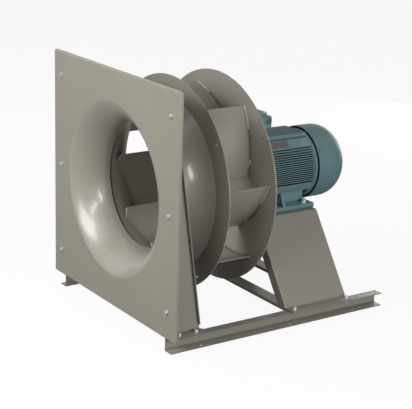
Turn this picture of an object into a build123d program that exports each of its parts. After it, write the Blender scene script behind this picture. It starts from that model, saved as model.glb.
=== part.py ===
from build123d import *
from collections import namedtuple
import math
import os

# Plug fan: a backward curved impeller on a motor shaft, drawing through a square inlet panel.
# Millimetres. +X right seen from the inlet, +Y from the inlet back to the motor, +Z up.
# Every piece is drawn about the shaft axis, with y = 0 on the front of the inlet panel.
# Each piece is then moved once, so that the object stands on z = 0 about its own centre.

# Inlet panel
PANEL_SIDE = 800.0
PANEL_SHEET = 3.0
PANEL_DEPTH = 11.5
PANEL_BEND_R = 5.0
PANEL_BOLT_INSET = 51.0
PANEL_BOLT_END = 87.0
PANEL_BOLT_RISE = 5.0

# Spun inlet cone, set edge to edge in the round hole of the panel
CONE_RIM_R = 293.0
CONE_SHEET = 2.5
CONE_DEPTH = 113.0
CONE_START_ANGLE = 21.0
CONE_START_PULL = 36.0
CONE_END_PULL = 45.0
EYE_GAP = 3.5
EYE_OVERLAP = 8.0

# Impeller
EYE_R = 214.0
SHROUD_DEPTH = 111.5
SHROUD_SHEET = 3.0
SHROUD_BEND_INSET = 75.5
SHROUD_PULL = (52.0, 54.0)
IMPELLER_R = 362.5
IMPELLER_WIDTH = 180.5
PLATE_SHEET = 5.0
BLADE_COUNT = 7
BLADE_PHASE = 7.0
BLADE_SHEET = 4.0
BLADE_TIP_INSET = 38.5
BLADE_NOSE_INSET = 3.0
BLADE_NOSE_ANGLE = -47.0
BLADE_NOSE_REACH = 51.0
BLADE_CAMBER = 19.0
BLADE_ROOT_SHARE = 0.32
BLADE_ROOM = 30.0
BALANCE_HOLE_R = 4.0
BALANCE_HOLE_INSET = 24.5
BALANCE_ANGLE = 34.0
BALANCE_COUNT = 4

# Hub and taper bush
HUB_R = 60.0
HUB_FRONT = 22.0
HUB_REAR = 27.0
HUB_FLANGE_R = 90.0
HUB_FLANGE = 12.0
HUB_BOLT_PITCH_R = 75.0
HUB_BOLT_COUNT = 6
BUSH_FRONT_R = 42.85
BUSH_REAR_R = 39.75
BUSH_RECESS = 1.5
BUSH_LENGTH = 44.5
BUSH_SLOT = 2.5
BUSH_SCREW_R = 6.0
BUSH_SCREW_LENGTH = 22.0
BUSH_SOCKET = (6.0, 6.0)

# Base rails and crossmembers
RAIL_INSET = 69.0
RAIL_FLANGE = 38.0
RAIL_HEIGHT = 46.0
RAIL_SHEET = 3.0
RAIL_BEND_R = 4.0
RAIL_FRONT_Y = 7.0
RAIL_OVERHANG = 130.0
RAIL_HOLE_R = 5.5
RAIL_HOLE_REACH = 24.0
RAIL_HOLE_FRONT = 123.0
RAIL_HOLE_MIDDLE = 3.0
RAIL_HOLE_REAR = 118.0
CROSS_WIDTH = 50.0
CROSS_LEG = 10.0
CROSS_BEND_R = 2.5
CROSS_FRONT_OFFSET = 4.0
CROSS_REAR_OFFSET = 31.0

# Gussets between the panel and the rails. The rear edge runs through two points, given by their
# depth behind the panel front and their height over the rail or their distance under the panel top.
GUSSET_SHEET = 3.0
GUSSET_BEND_R = 2.5
GUSSET_INNER_R = 1.5
GUSSET_FOOT_Y = (13.0, 145.0)
GUSSET_FOOT_WIDTH = 35.0
GUSSET_FRONT_FLANGE = 36.0
GUSSET_REAR_FLANGE = 10.0
GUSSET_REAR_LOW = (132.0, 26.0)
GUSSET_REAR_HIGH = (54.0, 256.0)
GUSSET_STRIP_END = (22.0, 20.0)
GUSSET_BOLT_Y = (48.0, 112.0)

# Motor stool
STOOL_SHEET = 4.0
STOOL_BEND_R = 5.0
STOOL_END_BEND_R = 2.0
STOOL_FRONT = 20.0
STOOL_LENGTH = 259.0
STOOL_EDGE = 20.0
STOOL_FLANGE = 38.0
STOOL_FOOT = 36.0
STOOL_BOLT_END = (23.0, 14.0)
FOOT_BOLT_REACH = 18.0

# Motor: shaft height, foot spacing and shaft end of a common size of foot mounted motor
SHAFT_HEIGHT = 132.0
SHAFT_R = 19.0
SHAFT_END = 80.0
SHAFT_CHAMFER = 1.0
SHOULDER_TO_PLATE = 51.0
SEAT_R = 20.0
CORE_SHAFT_R = 26.0
FAN_SEAT_R = 18.0
CLIP_GROOVE_R = 16.5
CLIP_THICK = 1.5
CLIP_PROUD = 4.0
CLIP_MOUTH = 6.0
CENTRE_HOLE_R = 6.0
CENTRE_HOLE_DEPTH = 28.0
CENTRE_HOLE_CHAMFER = 2.0
KEY_WIDTH = 10.0
KEY_HEIGHT = 8.0
KEY_DEPTH = 5.0
KEY_LENGTH = 62.0
KEY_END = 6.0

# Motor frame, its feet and fins
SHOULDER_TO_FRAME = 42.0
FRAME_LENGTH = 261.0
FRAME_BORE_R = 100.0
FRAME_WALL = 8.0
SHOULDER_TO_FOOT_HOLE = 89.0
FOOT_HOLE_LENGTH = 178.0
FOOT_HOLE_X = 108.0
FOOT_HOLE_R = 6.0
FOOT_HALF_WIDTH = 128.0
FOOT_INNER_X = 66.0
FOOT_THICK = 16.0
FOOT_FRONT = 32.0
FOOT_REAR = 30.0
FOOT_WALL_X = (72.0, 87.0)
FOOT_WALL_END = (10.0, 21.0)
FOOT_RIB = (77.0, 87.0)
FOOT_RIB_INSET = (24.0, 3.0)
FOOT_EDGE_R = 2.0
HAUNCH_INNER_X = 60.0
HAUNCH_Z = (-71.0, -42.0)
FIN_HEIGHT = 17.0
FIN_THICK = 3.0
FIN_END = (8.0, 1.0)
FIN_ROOT = 6.0
SIDE_FIN_PITCH = 7.3
SIDE_FIN_LOW_Z = -34.0
SIDE_FIN_COUNT = 17
TOP_FIN_PITCH = 11.4
TOP_FIN_HALF_COUNT = 5
TOP_FIN_HEIGHT = (16.0, 14.0)
COLLAR = 9.0
FRONT_COLLAR = 18.5
REAR_COLLAR = 13.0
CORNER_PAD_ANGLE = 50.0
CORNER_PAD_WIDTH = 36.0
CORNER_PAD_PROUD = 0.5
PAD_ROOT = 12.0
NECK_PAD_WIDTH = 84.0
NECK_PAD_LENGTH = 74.0
NECK_PAD_RISE = 32.0
CABLE_DUCT_R = 14.0

# End shields and bearings
FRONT_SHIELD_RIM = 20.0
REAR_SHIELD_RIM = 10.0
REAR_SHIELD_WALL = 14.0
SHIELD_SCREW_REACH = 12.5
SHIELD_STEP = 4.0
SHIELD_WALL = 8.0
SHIELD_BOSS_EDGE = 2.0
FRONT_BOSS_BEVEL = (6.0, 5.0)
REAR_BOSS_BEVEL = (4.0, 5.0)
SHIELD_RIBS = 8
SHIELD_RIB_HALF = 2.5
SHIELD_RIB_ENDS = (4.0, 6.0)
SHIELD_RIB_TOP = (2.0, -1.0)
SHIELD_RIB_ROOT = (9.0, 3.0)
SPIGOT = 4.0
SPIGOT_WALL = 6.0
SEAT_WALL = 11.0
FRONT_FACE = 7.0
REAR_FACE = 3.0
SEAL_R = 30.0
SEAL_LIP = 4.0
SEAL_PROUD = 3.5
SEAL_DEPTH = 5.0
BEARING_R = 45.0
BEARING_WIDTH = 23.0
BEARING_RING = 7.0
BEARING_SHIELD = 2.0
FRONT_BEARING_OFFSET = 12.0
REAR_BEARING_OFFSET = 4.0
LUG_ANGLE = 31.5
LUG_WIDTH = 14.0
LUG_DEPTH = 28.0
LUG_RECESS = 14.0
LUG_LENGTH = 22.0
LUG_HEAD_INSET = 3.0

# Stator and rotor
CORE_LENGTH = 160.0
CORE_OFFSET = 50.0
STATOR_BORE_R = 66.0
AIR_GAP = 0.5
WINDING_REACH = 30.0
WINDING_GAP = (5.0, 9.0)
WINDING_ROUND = 7.0
END_RING = (3.0, 22.0, 12.0)
END_RING_LUGS = 6
END_RING_LUG = (5.0, 20.0, 10.0, 4.0)

# Cooling fan and its cowl
COWL_R = 130.0
COWL_SHEET = 2.0
COWL_GAP = 2.0
COWL_LENGTH = 147.0
COWL_CORNER_R = 85.0
COWL_SCREW_OFFSET = 10.0
COWL_SCREW_LENGTH = 14.0
GRILLE_RINGS = ((26.0, 10), (46.0, 16), (66.0, 22), (86.0, 28))
GRILLE_SLOT = (7.5, 13.0)
FAN_HUB_R = 27.0
FAN_TIP_R = 106.0
FAN_OFFSET = 44.0
FAN_WIDTH = 45.0
FAN_DISC = 3.0
FAN_BLADES = 9
FAN_BLADE_SHEET = 2.5
FAN_BLADE_INSET = 4.0
FAN_SEAT_END = 5.0

# Terminal box
BOX_HALF_WIDTH = 52.0
BOX_LENGTH = 120.0
BOX_OFFSET = -27.0
BOX_NECK_HEIGHT = 32.0
BOX_HEIGHT = 24.5
BOX_WALL = 4.0
BOX_CORNER_R = 8.0
LID_HEIGHT = 11.5
LID_PLATEAU = 6.0
LID_PLATEAU_INSET = 18.0
LID_POCKET_INSET = 22.0
LID_EDGE = 3.0
LID_SCREW_INSET = 8.0
LID_SCREW_LENGTH = 24.0
LID_SCREW_WELL = (5.6, 4.0)
LID_POST = (5.0, 16.0)
GASKET = 1.5
GASKET_WIDTH = 13.0
NECK_HALF_WIDTH = 34.0
NECK_LENGTH = 68.0
ENTRY_HALF_WIDTH = 48.0
ENTRY_PROUD = 21.0
ENTRY_OVERLAP = 13.0
ENTRY_BELOW = 25.0
ENTRY_HEIGHT = 46.5
ENTRY_CORNER_R = 5.0
ENTRY_AXIS_RISE = 4.0
ENTRY_HOLE_R = 8.0
ENTRY_X = 27.0
SIDE_ENTRY_INSET = 10.6
PLUG_STEM = 12.0
PLUG_HEX = (19.0, 10.0)
SIDE_PLUG_HEAD = (9.6, 2.0)
TERMINAL_PITCH = 20.0
TERMINAL_ROW = 13.0
TERMINAL_BLOCK = (32.0, 25.0, 10.0)
TERMINAL_RIB = (3.0, 5.0)
TERMINAL_STUD = 8.0

RATING_PLATE = (98.0, 26.0, 1.0)
RATING_PLATE_OFFSET = 117.0
RIVET_INSET = 4.0
RIVET = (1.5, 2.5, 0.8)

# Metric screws: thread radius, width over flats, head height, washer radius and thickness
Metric = namedtuple("Metric", "thread_r flats head washer_r washer")
M5 = Metric(2.5, 8.0, 3.5, 5.0, 1.0)
M8 = Metric(4.0, 13.0, 5.3, 8.0, 1.6)
M10 = Metric(5.0, 16.0, 6.4, 10.0, 2.0)
NUT_RATIO = 1.25
HEX_CROWN = (0.62, 0.5)
SCREW_END = 5.0
HOLE_CLEARANCE = 0.5
THREAD_CLEARANCE = 0.1
SEAT_CLEARANCE = 0.05
MOVING_GAP = 0.35
NEAR = 0.01

# Places that follow from the sizes above
PANEL_HALF = PANEL_SIDE / 2
PANEL_BOLT_X = PANEL_HALF - PANEL_BOLT_INSET
PANEL_BOLT_Z = [PANEL_BOLT_RISE + side * (PANEL_HALF - PANEL_BOLT_END) for side in (-1, 0, 1)]
CONE_THROAT_R = EYE_R - EYE_GAP - CONE_SHEET
EYE_Y = CONE_DEPTH - EYE_OVERLAP
RIM_Y = EYE_Y + SHROUD_DEPTH
SHROUD_BEND_R = IMPELLER_R - SHROUD_BEND_INSET
PLATE_Y = RIM_Y + IMPELLER_WIDTH
BLADE_TIP_R = IMPELLER_R - BLADE_TIP_INSET
BLADE_NOSE_R = EYE_R - BLADE_NOSE_INSET
BLADE_NOSE_Y = EYE_Y + BLADE_NOSE_REACH
HUB_Y = (PLATE_Y - HUB_FRONT, PLATE_Y + HUB_REAR)
BUSH_Y = (HUB_Y[0] + BUSH_RECESS, HUB_Y[0] + BUSH_RECESS + BUSH_LENGTH)
SHOULDER_Y = PLATE_Y + SHOULDER_TO_PLATE
SHAFT_FRONT_Y = SHOULDER_Y - SHAFT_END
KEY_Y = (SHAFT_FRONT_Y + KEY_END, SHAFT_FRONT_Y + KEY_END + KEY_LENGTH)
FOOT_HOLE_Y = (SHOULDER_Y + SHOULDER_TO_FOOT_HOLE, SHOULDER_Y + SHOULDER_TO_FOOT_HOLE + FOOT_HOLE_LENGTH)
FOOT_Y = (FOOT_HOLE_Y[0] - FOOT_FRONT, FOOT_HOLE_Y[1] + FOOT_REAR)
FRAME_Y = (SHOULDER_Y + SHOULDER_TO_FRAME, SHOULDER_Y + SHOULDER_TO_FRAME + FRAME_LENGTH)
FRAME_R = FRAME_BORE_R + FRAME_WALL
FRAME_ENVELOPE_R = FRAME_R + FIN_HEIGHT
FIN_Y = (FRAME_Y[0] + FIN_END[0], FRAME_Y[1] - FIN_END[1])
CORNER_PAD_R = FRAME_ENVELOPE_R + CORNER_PAD_PROUD
NECK_PAD_Y = (FRAME_Y[0], FRAME_Y[0] + NECK_PAD_LENGTH)
NECK_PAD_Z = FRAME_R + NECK_PAD_RISE
FRONT_SHIELD_R = FRAME_R + FRONT_COLLAR
REAR_SHIELD_R = FRAME_R + REAR_SHIELD_WALL
FRONT_SHIELD_Y = (FRAME_Y[0] - FRONT_SHIELD_RIM, FRAME_Y[0])
REAR_SHIELD_Y = (FRAME_Y[1], FRAME_Y[1] + REAR_SHIELD_RIM)
SHIELD_SCREW_R = FRAME_BORE_R + SHIELD_SCREW_REACH
FRONT_BEARING_Y = SHOULDER_Y + FRONT_BEARING_OFFSET
REAR_BEARING_Y = FRAME_Y[1] + REAR_BEARING_OFFSET
STATOR_Y = (FRAME_Y[0] + CORE_OFFSET, FRAME_Y[0] + CORE_OFFSET + CORE_LENGTH)
ROTOR_R = STATOR_BORE_R - AIR_GAP
COWL_Y = (REAR_SHIELD_Y[1] + COWL_GAP, REAR_SHIELD_Y[1] + COWL_GAP + COWL_LENGTH)
COWL_SCREW_Y = COWL_Y[0] + COWL_SCREW_OFFSET
FAN_Y = (FRAME_Y[1] + FAN_OFFSET, FRAME_Y[1] + FAN_OFFSET + FAN_WIDTH)
SHAFT_REAR_Y = FAN_Y[1] + FAN_SEAT_END
RAIL_TOP_Z = -PANEL_HALF
RAIL_LOW_Z = RAIL_TOP_Z - RAIL_HEIGHT
RAIL_WEB_X = PANEL_HALF - RAIL_INSET
RAIL_HOLE_X = RAIL_WEB_X + RAIL_HOLE_REACH
FOOT_BOLT_X = RAIL_WEB_X + FOOT_BOLT_REACH
STOOL_Y = (FOOT_Y[0] - STOOL_FRONT, FOOT_Y[0] - STOOL_FRONT + STOOL_LENGTH)
STOOL_TOP_HALF = FOOT_HALF_WIDTH + STOOL_EDGE
STOOL_BOLT_Y = (STOOL_Y[0] + STOOL_BOLT_END[0], STOOL_Y[1] - STOOL_BOLT_END[1])
RAIL_REAR_Y = STOOL_Y[1] + RAIL_OVERHANG
RAIL_HOLE_Y = (RAIL_FRONT_Y + RAIL_HOLE_FRONT, STOOL_Y[0] + RAIL_HOLE_MIDDLE, RAIL_REAR_Y - RAIL_HOLE_REAR)
CROSS_FRONT_Y = (STOOL_Y[0] + CROSS_FRONT_OFFSET, STOOL_Y[1] - CROSS_REAR_OFFSET - CROSS_WIDTH)
BOX_Y = (FRAME_Y[0] + BOX_OFFSET, FRAME_Y[0] + BOX_OFFSET + BOX_LENGTH)
BOX_Z = (NECK_PAD_Z + BOX_NECK_HEIGHT, NECK_PAD_Z + BOX_NECK_HEIGHT + BOX_HEIGHT)
BOX_MIDDLE_Y = (BOX_Y[0] + BOX_Y[1]) / 2
NECK_Y = (BOX_MIDDLE_Y - NECK_LENGTH / 2, BOX_MIDDLE_Y + NECK_LENGTH / 2)
LID_Z = (BOX_Z[1] + GASKET, BOX_Z[1] + GASKET + LID_HEIGHT)
ENTRY_Y = (BOX_Y[1] - ENTRY_OVERLAP, BOX_Y[1] + ENTRY_PROUD)
ENTRY_Z = (BOX_Z[0] - ENTRY_BELOW, BOX_Z[0] - ENTRY_BELOW + ENTRY_HEIGHT)
ENTRY_AXIS_Z = BOX_Z[0] + ENTRY_AXIS_RISE
SIDE_ENTRY_Y = ENTRY_Y[1] - SIDE_ENTRY_INSET
RATING_PLATE_Y = FRAME_Y[0] + RATING_PLATE_OFFSET
PANEL_BOLT_PROUD = M8.head + M8.washer
ROW_SHIFT = Location((0, -(COWL_Y[1] - PANEL_BOLT_PROUD) / 2, -RAIL_LOW_Z))

STANDING = (Align.CENTER, Align.CENTER, Align.MIN)


# Helpers

def box(x, y, z):
    """A box from three (low, high) pairs."""
    size = [high - low for low, high in (x, y, z)]
    middle = [(high + low) / 2 for low, high in (x, y, z)]
    return Pos(*middle) * Box(*size)


def inset(pair, distance):
    """A (low, high) pair drawn in by the distance at both ends, or let out if it is negative."""
    return pair[0] + distance, pair[1] - distance


def mirror_pair(half):
    return -half, half


def rod(radius, y, x=0.0, z=0.0):
    """A round bar along Y between the two y values."""
    return Pos(x, (y[0] + y[1]) / 2, z) * Rot(-90, 0, 0) * Cylinder(radius, y[1] - y[0])


def upright(radius, x, y, z):
    """A round bar along Z between the two z values."""
    return Pos(x, y, (z[0] + z[1]) / 2) * Cylinder(radius, z[1] - z[0])


def spin(points):
    """A solid turned about the shaft axis from a closed outline of (radius, y) points."""
    return revolve(make_face(Polyline(*points, close=True)), Axis.Y)


def ring(outer, inner, y):
    """A plain ring about the shaft axis."""
    return spin([(inner, y[0]), (outer, y[0]), (outer, y[1]), (inner, y[1])])


def about_axis(shape, angle):
    """The shape turned about the shaft axis, counter-clockwise seen from the inlet."""
    return Rot(0, -angle, 0) * shape


def polar(radius, angle):
    return radius * math.cos(math.radians(angle)), radius * math.sin(math.radians(angle))


def mirrored(shape):
    """The same shape on the other side of the shaft."""
    return mirror(shape, Plane.YZ)


def both_sides(shape):
    return [shape, mirrored(shape)]


def aimed(shape, point, direction):
    """A shape drawn along +Z, set at a point with its +Z along the direction."""
    return Plane(origin=point, z_dir=direction).location * shape


def hex_prism(flats, height):
    """Hexagon standing on z = 0 with its upper corners turned off."""
    blank = extrude(RegularPolygon(flats / 2, 6, major_radius=False), height)
    return blank & Cone(flats * HEX_CROWN[0], flats * HEX_CROWN[1], height, align=STANDING)


def hex_bolt(size, length):
    """Hex head standing on z = 0, shank down to -length."""
    shank = Pos(0, 0, -length) * Cylinder(size.thread_r, length, align=STANDING)
    return hex_prism(size.flats, size.head) + shank


def washer(size):
    """Washer lying on z = 0."""
    hole = Cylinder(size.thread_r + HOLE_CLEARANCE, size.washer, align=STANDING)
    return Cylinder(size.washer_r, size.washer, align=STANDING) - hole


def hex_nut(size):
    """Hex nut standing on z = 0."""
    height = size.head * NUT_RATIO
    bore = Cylinder(size.thread_r + THREAD_CLEARANCE, height, align=STANDING)
    return hex_prism(size.flats, height) - bore


def offset_line(points, distance):
    """The open line moved sideways by the distance, to its right, with mitred corners."""
    normals = []
    for (xa, za), (xb, zb) in zip(points, points[1:]):
        length = math.hypot(xb - xa, zb - za)
        normals.append(((zb - za) / length, -(xb - xa) / length))
    moved = []
    for index, (x, z) in enumerate(points):
        before = normals[max(index - 1, 0)]
        after = normals[min(index, len(normals) - 1)]
        mix = (before[0] + after[0], before[1] + after[1])
        scale = 2 * distance / (mix[0] ** 2 + mix[1] ** 2)
        moved.append((x + mix[0] * scale, z + mix[1] * scale))
    return moved


def profile_xz(points, y):
    """An outline of (x, z) points drawn out along Y between the two y values."""
    face = make_face(Polyline(*[(x, y[0], z) for x, z in points], close=True))
    return extrude(face, y[1] - y[0], dir=(0, 1, 0))


def profile_yz(points, x):
    """An outline of (y, z) points drawn out along X between the two x values."""
    face = make_face(Polyline(*[(x[0], y, z) for y, z in points], close=True))
    return extrude(face, x[1] - x[0], dir=(1, 0, 0))


def profile_xy(points, half_height):
    """An outline of (x, y) points with the same height above and below the shaft plane."""
    face = make_face(Polyline(*[(x, y, -half_height) for x, y in points], close=True))
    return extrude(face, 2 * half_height, dir=(0, 0, 1))


def save(name, shapes):
    """Write one node: a solid, or a group of separate solids."""
    solids = []
    for shape in shapes if isinstance(shapes, list) else [shapes]:
        solids.extend(shape.solids())
    moved = [solid.moved(ROW_SHIFT) for solid in solids]
    group = moved[0] if len(moved) == 1 else Compound(children=moved)
    export_step(group, os.path.join("parts", name + ".step"))


# Inlet panel and cone

def inlet_panel():
    """Square sheet with its four edges bent back and a round hole for the cone."""
    side = mirror_pair(PANEL_HALF)
    room = inset(side, PANEL_SHEET)
    skin = box(side, (0, PANEL_DEPTH), side)
    skin = fillet(skin.edges().filter_by(Axis.Y), PANEL_BEND_R)
    skin = fillet(skin.faces().sort_by(Axis.Y)[0].edges(), PANEL_BEND_R)
    tray = box(room, (PANEL_SHEET, PANEL_DEPTH + 1), room)
    tray = fillet(tray.edges().filter_by(Axis.Y), PANEL_BEND_R - PANEL_SHEET)
    tray = fillet(tray.faces().sort_by(Axis.Y)[0].edges(), PANEL_BEND_R - PANEL_SHEET)
    through = (-1, PANEL_SHEET + 1)
    panel = skin - tray - rod(CONE_RIM_R, through)
    for x, z in panel_bolt_places():
        panel -= rod(M8.thread_r + HOLE_CLEARANCE, through, x, z)
    return panel


def panel_bolt_places():
    return [(side * PANEL_BOLT_X, z) for side in (-1, 1) for z in PANEL_BOLT_Z]


def inlet_cone():
    """Spun ring: it leaves the panel's face at a shallow angle and turns down into the throat."""
    start = polar(CONE_START_PULL, CONE_START_ANGLE)
    air_side = Bezier(
        (CONE_RIM_R, 0), (CONE_RIM_R - start[0], start[1]),
        (CONE_THROAT_R, CONE_DEPTH - CONE_END_PULL), (CONE_THROAT_R, CONE_DEPTH),
    )
    steps = 8
    back = []
    for step in range(steps + 1):
        point = air_side @ (step / steps)
        along = air_side % (step / steps)
        back.append((point.X + along.Y * CONE_SHEET, point.Y - along.X * CONE_SHEET))
    back_side = Spline(*back, tangents=(air_side % 0, air_side % 1))
    outline = [air_side, Line(air_side @ 1, back_side @ 1), back_side, Line(back_side @ 0, air_side @ 0)]
    return revolve(make_face(outline), Axis.Y) & rod(CONE_RIM_R, (-1, CONE_DEPTH + 1))


def panel_fasteners():
    bolts, washers, nuts = [], [], []
    back = PANEL_SHEET + GUSSET_SHEET
    length = back + M8.washer + M8.head * NUT_RATIO + SCREW_END
    for x, z in panel_bolt_places():
        washers.append(aimed(washer(M8), (x, 0, z), (0, -1, 0)))
        bolts.append(aimed(hex_bolt(M8, length), (x, -M8.washer, z), (0, -1, 0)))
        nuts.append(aimed(hex_nut(M8), (x, back, z), (0, 1, 0)))
    save("panel_bolts", bolts)
    save("panel_washers", washers)
    save("panel_nuts", nuts)


# Base frame

def base_rail():
    """Channel on its edge: web inboard, both flanges outward."""
    tip = RAIL_WEB_X + RAIL_FLANGE
    length = (RAIL_FRONT_Y, RAIL_REAR_Y)
    outer = box((RAIL_WEB_X, tip), length, (RAIL_LOW_Z, RAIL_TOP_Z))
    inner = box((RAIL_WEB_X + RAIL_SHEET, tip + 1), length, inset((RAIL_LOW_Z, RAIL_TOP_Z), RAIL_SHEET))
    outer = fillet(outer.edges().filter_by(Axis.Y).group_by(Axis.X)[0], RAIL_BEND_R)
    inner = fillet(inner.edges().filter_by(Axis.Y).group_by(Axis.X)[0], RAIL_BEND_R - RAIL_SHEET)
    rail = outer - inner
    for y in RAIL_HOLE_Y:
        rail -= upright(RAIL_HOLE_R, RAIL_HOLE_X, y, (RAIL_LOW_Z - 1, RAIL_LOW_Z + RAIL_SHEET + 1))
    through = (RAIL_TOP_Z - RAIL_SHEET - 1, RAIL_TOP_Z + 1)
    for y in GUSSET_BOLT_Y + STOOL_BOLT_Y:
        rail -= upright(M8.thread_r + HOLE_CLEARANCE, FOOT_BOLT_X, y, through)
    return rail


def crossmember(front_y):
    """Shallow channel laid flat between the rail webs, its two legs down."""
    span = (front_y, front_y + CROSS_WIDTH)
    outer = box(mirror_pair(RAIL_WEB_X), span, (RAIL_TOP_Z - CROSS_LEG, RAIL_TOP_Z))
    outer = fillet(outer.edges().filter_by(Axis.X).group_by(Axis.Z)[-1], CROSS_BEND_R)
    inner = box(mirror_pair(RAIL_WEB_X + 1), inset(span, RAIL_SHEET),
                (RAIL_TOP_Z - CROSS_LEG - 1, RAIL_TOP_Z - RAIL_SHEET))
    return outer - inner


def gusset():
    """Tall side sheet: front flange on the panel, foot on the rail, narrow rear flange."""
    foot_end = (GUSSET_REAR_LOW[0], RAIL_TOP_Z + GUSSET_REAR_LOW[1])
    top_end = (GUSSET_REAR_HIGH[0], PANEL_HALF - GUSSET_REAR_HIGH[1])
    lean = (foot_end[0] - top_end[0]) / (top_end[1] - foot_end[1])

    def rear_y(z):
        return foot_end[0] - (z - foot_end[1]) * lean

    low = RAIL_TOP_Z
    high = PANEL_HALF - PANEL_BEND_R
    notch = low + PANEL_BEND_R
    front = (PANEL_SHEET, PANEL_SHEET + GUSSET_SHEET)
    x = (RAIL_WEB_X, RAIL_WEB_X + GUSSET_SHEET)
    web = profile_yz([
        (front[0], high), (rear_y(high), high), (rear_y(low), low), (GUSSET_FOOT_Y[0], low),
        (GUSSET_FOOT_Y[0], notch), (front[0], notch),
    ], x)
    face = box((x[0], x[0] + GUSSET_FRONT_FLANGE), front, (notch, high))
    foot = box((x[0], x[0] + GUSSET_FOOT_WIDTH), GUSSET_FOOT_Y, (low, low + GUSSET_SHEET))
    strip_z = (low + GUSSET_STRIP_END[0], high - GUSSET_STRIP_END[1])
    strip = profile_yz([
        (rear_y(strip_z[0]) - GUSSET_SHEET, strip_z[0]), (rear_y(strip_z[0]), strip_z[0]),
        (rear_y(strip_z[1]), strip_z[1]), (rear_y(strip_z[1]) - GUSSET_SHEET, strip_z[1]),
    ], (x[0], x[1] + GUSSET_REAR_FLANGE))
    sheet = web + face + foot + strip
    sheet = fillet(long_edges(sheet, x[0]), GUSSET_BEND_R)
    sheet = fillet(long_edges(sheet, x[1]), GUSSET_INNER_R)
    for z in PANEL_BOLT_Z:
        sheet -= rod(M8.thread_r + HOLE_CLEARANCE, inset(front, -1), PANEL_BOLT_X, z)
    for y in GUSSET_BOLT_Y:
        sheet -= upright(M8.thread_r + HOLE_CLEARANCE, FOOT_BOLT_X, y, (low - 1, low + GUSSET_SHEET + 1))
    return sheet


def near(value, goal):
    return abs(value - goal) < NEAR


def long_edges(sheet, x):
    """The two tall bend lines of a gusset in the plane of the given x."""
    return [edge for edge in sheet.edges() if near(edge.center().X, x) and edge.length > PANEL_HALF]


def rail_fasteners(name, bolt_y, sheet):
    """Bolts down through a foot flange and the rail's top flange, with nuts below."""
    bolts, washers, nuts = [], [], []
    top = RAIL_TOP_Z + sheet
    length = sheet + RAIL_SHEET + M8.washer + M8.head * NUT_RATIO + SCREW_END
    for x in mirror_pair(FOOT_BOLT_X):
        for y in bolt_y:
            washers.append(Pos(x, y, top) * washer(M8))
            bolts.append(Pos(x, y, top + M8.washer) * hex_bolt(M8, length))
            nuts.append(aimed(hex_nut(M8), (x, y, RAIL_TOP_Z - RAIL_SHEET), (0, 0, -1)))
    save(name + "_bolts", bolts)
    save(name + "_washers", washers)
    save(name + "_nuts", nuts)


# Motor stool

def stool_line():
    """Outer surface of the folded sheet: up the left slope, over the top, down the right slope."""
    lean = (RAIL_WEB_X - STOOL_TOP_HALF) / (-SHAFT_HEIGHT - RAIL_TOP_Z - STOOL_SHEET)
    foot_x = RAIL_WEB_X + lean * STOOL_SHEET
    return [(-foot_x, RAIL_TOP_Z), (-STOOL_TOP_HALF, -SHAFT_HEIGHT), (STOOL_TOP_HALF, -SHAFT_HEIGHT),
            (foot_x, RAIL_TOP_Z)]


def stool_block(line, y, fold_r, end_r):
    """A block under the line, its two folds and the rims of its two ends rounded."""
    block = profile_xz(line, y)
    block = fillet(block.edges().filter_by(Axis.Y).group_by(Axis.Z)[-1], fold_r)
    above_floor = [edge for edge in block.edges() if edge.center().Z > line[0][1] + 1]
    rims = [edge for edge in above_floor if near(edge.center().Y, y[0]) or near(edge.center().Y, y[1])]
    return fillet(rims, end_r)


def stool_foot_strip():
    """The right foot, rounded where it is folded out of the sloping side."""
    corner = (RAIL_WEB_X, RAIL_TOP_Z + STOOL_SHEET)
    (high_x, high_z), (low_x, low_z) = stool_line()[2:]
    length = math.hypot(high_x - low_x, high_z - low_z)
    reach = 2 * STOOL_SHEET
    up = (corner[0] + (high_x - low_x) / length * reach, corner[1] + (high_z - low_z) / length * reach)
    tip = RAIL_WEB_X + STOOL_FOOT
    fold = profile_xz([
        (tip, RAIL_TOP_Z), (tip, corner[1]), corner, up,
        (up[0] - STOOL_SHEET / 2, up[1]), (corner[0], RAIL_TOP_Z),
    ], inset(STOOL_Y, STOOL_END_BEND_R + STOOL_SHEET))
    bend = [edge for edge in fold.edges().filter_by(Axis.Y) if near(edge.center().X, corner[0])]
    fold = fillet([edge for edge in bend if edge.center().Z > RAIL_TOP_Z + 1], STOOL_BEND_R)
    return fold + box((RAIL_WEB_X, tip), STOOL_Y, (RAIL_TOP_Z, corner[1]))


def motor_stool():
    """One folded sheet: flat top, two sloping sides, feet bent out, flanges bent in at both ends."""
    outer = stool_line()
    room = inset(STOOL_Y, STOOL_SHEET)
    sheet = stool_block(outer, STOOL_Y, STOOL_BEND_R + STOOL_SHEET, STOOL_END_BEND_R + STOOL_SHEET)
    sheet -= stool_block(offset_line(outer, STOOL_SHEET), room, STOOL_BEND_R, STOOL_END_BEND_R)
    sheet -= profile_xz(offset_line(outer, STOOL_FLANGE), inset(STOOL_Y, -1))
    for foot in both_sides(stool_foot_strip()):
        sheet += foot
    through_top = (-SHAFT_HEIGHT - STOOL_SHEET - 1, -SHAFT_HEIGHT + 1)
    for x in mirror_pair(FOOT_HOLE_X):
        for y in FOOT_HOLE_Y:
            sheet -= upright(M10.thread_r + HOLE_CLEARANCE, x, y, through_top)
    through_foot = (RAIL_TOP_Z - 1, RAIL_TOP_Z + STOOL_SHEET + 1)
    for x in mirror_pair(FOOT_BOLT_X):
        for y in STOOL_BOLT_Y:
            sheet -= upright(M8.thread_r + HOLE_CLEARANCE, x, y, through_foot)
    return sheet


# Impeller

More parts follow.
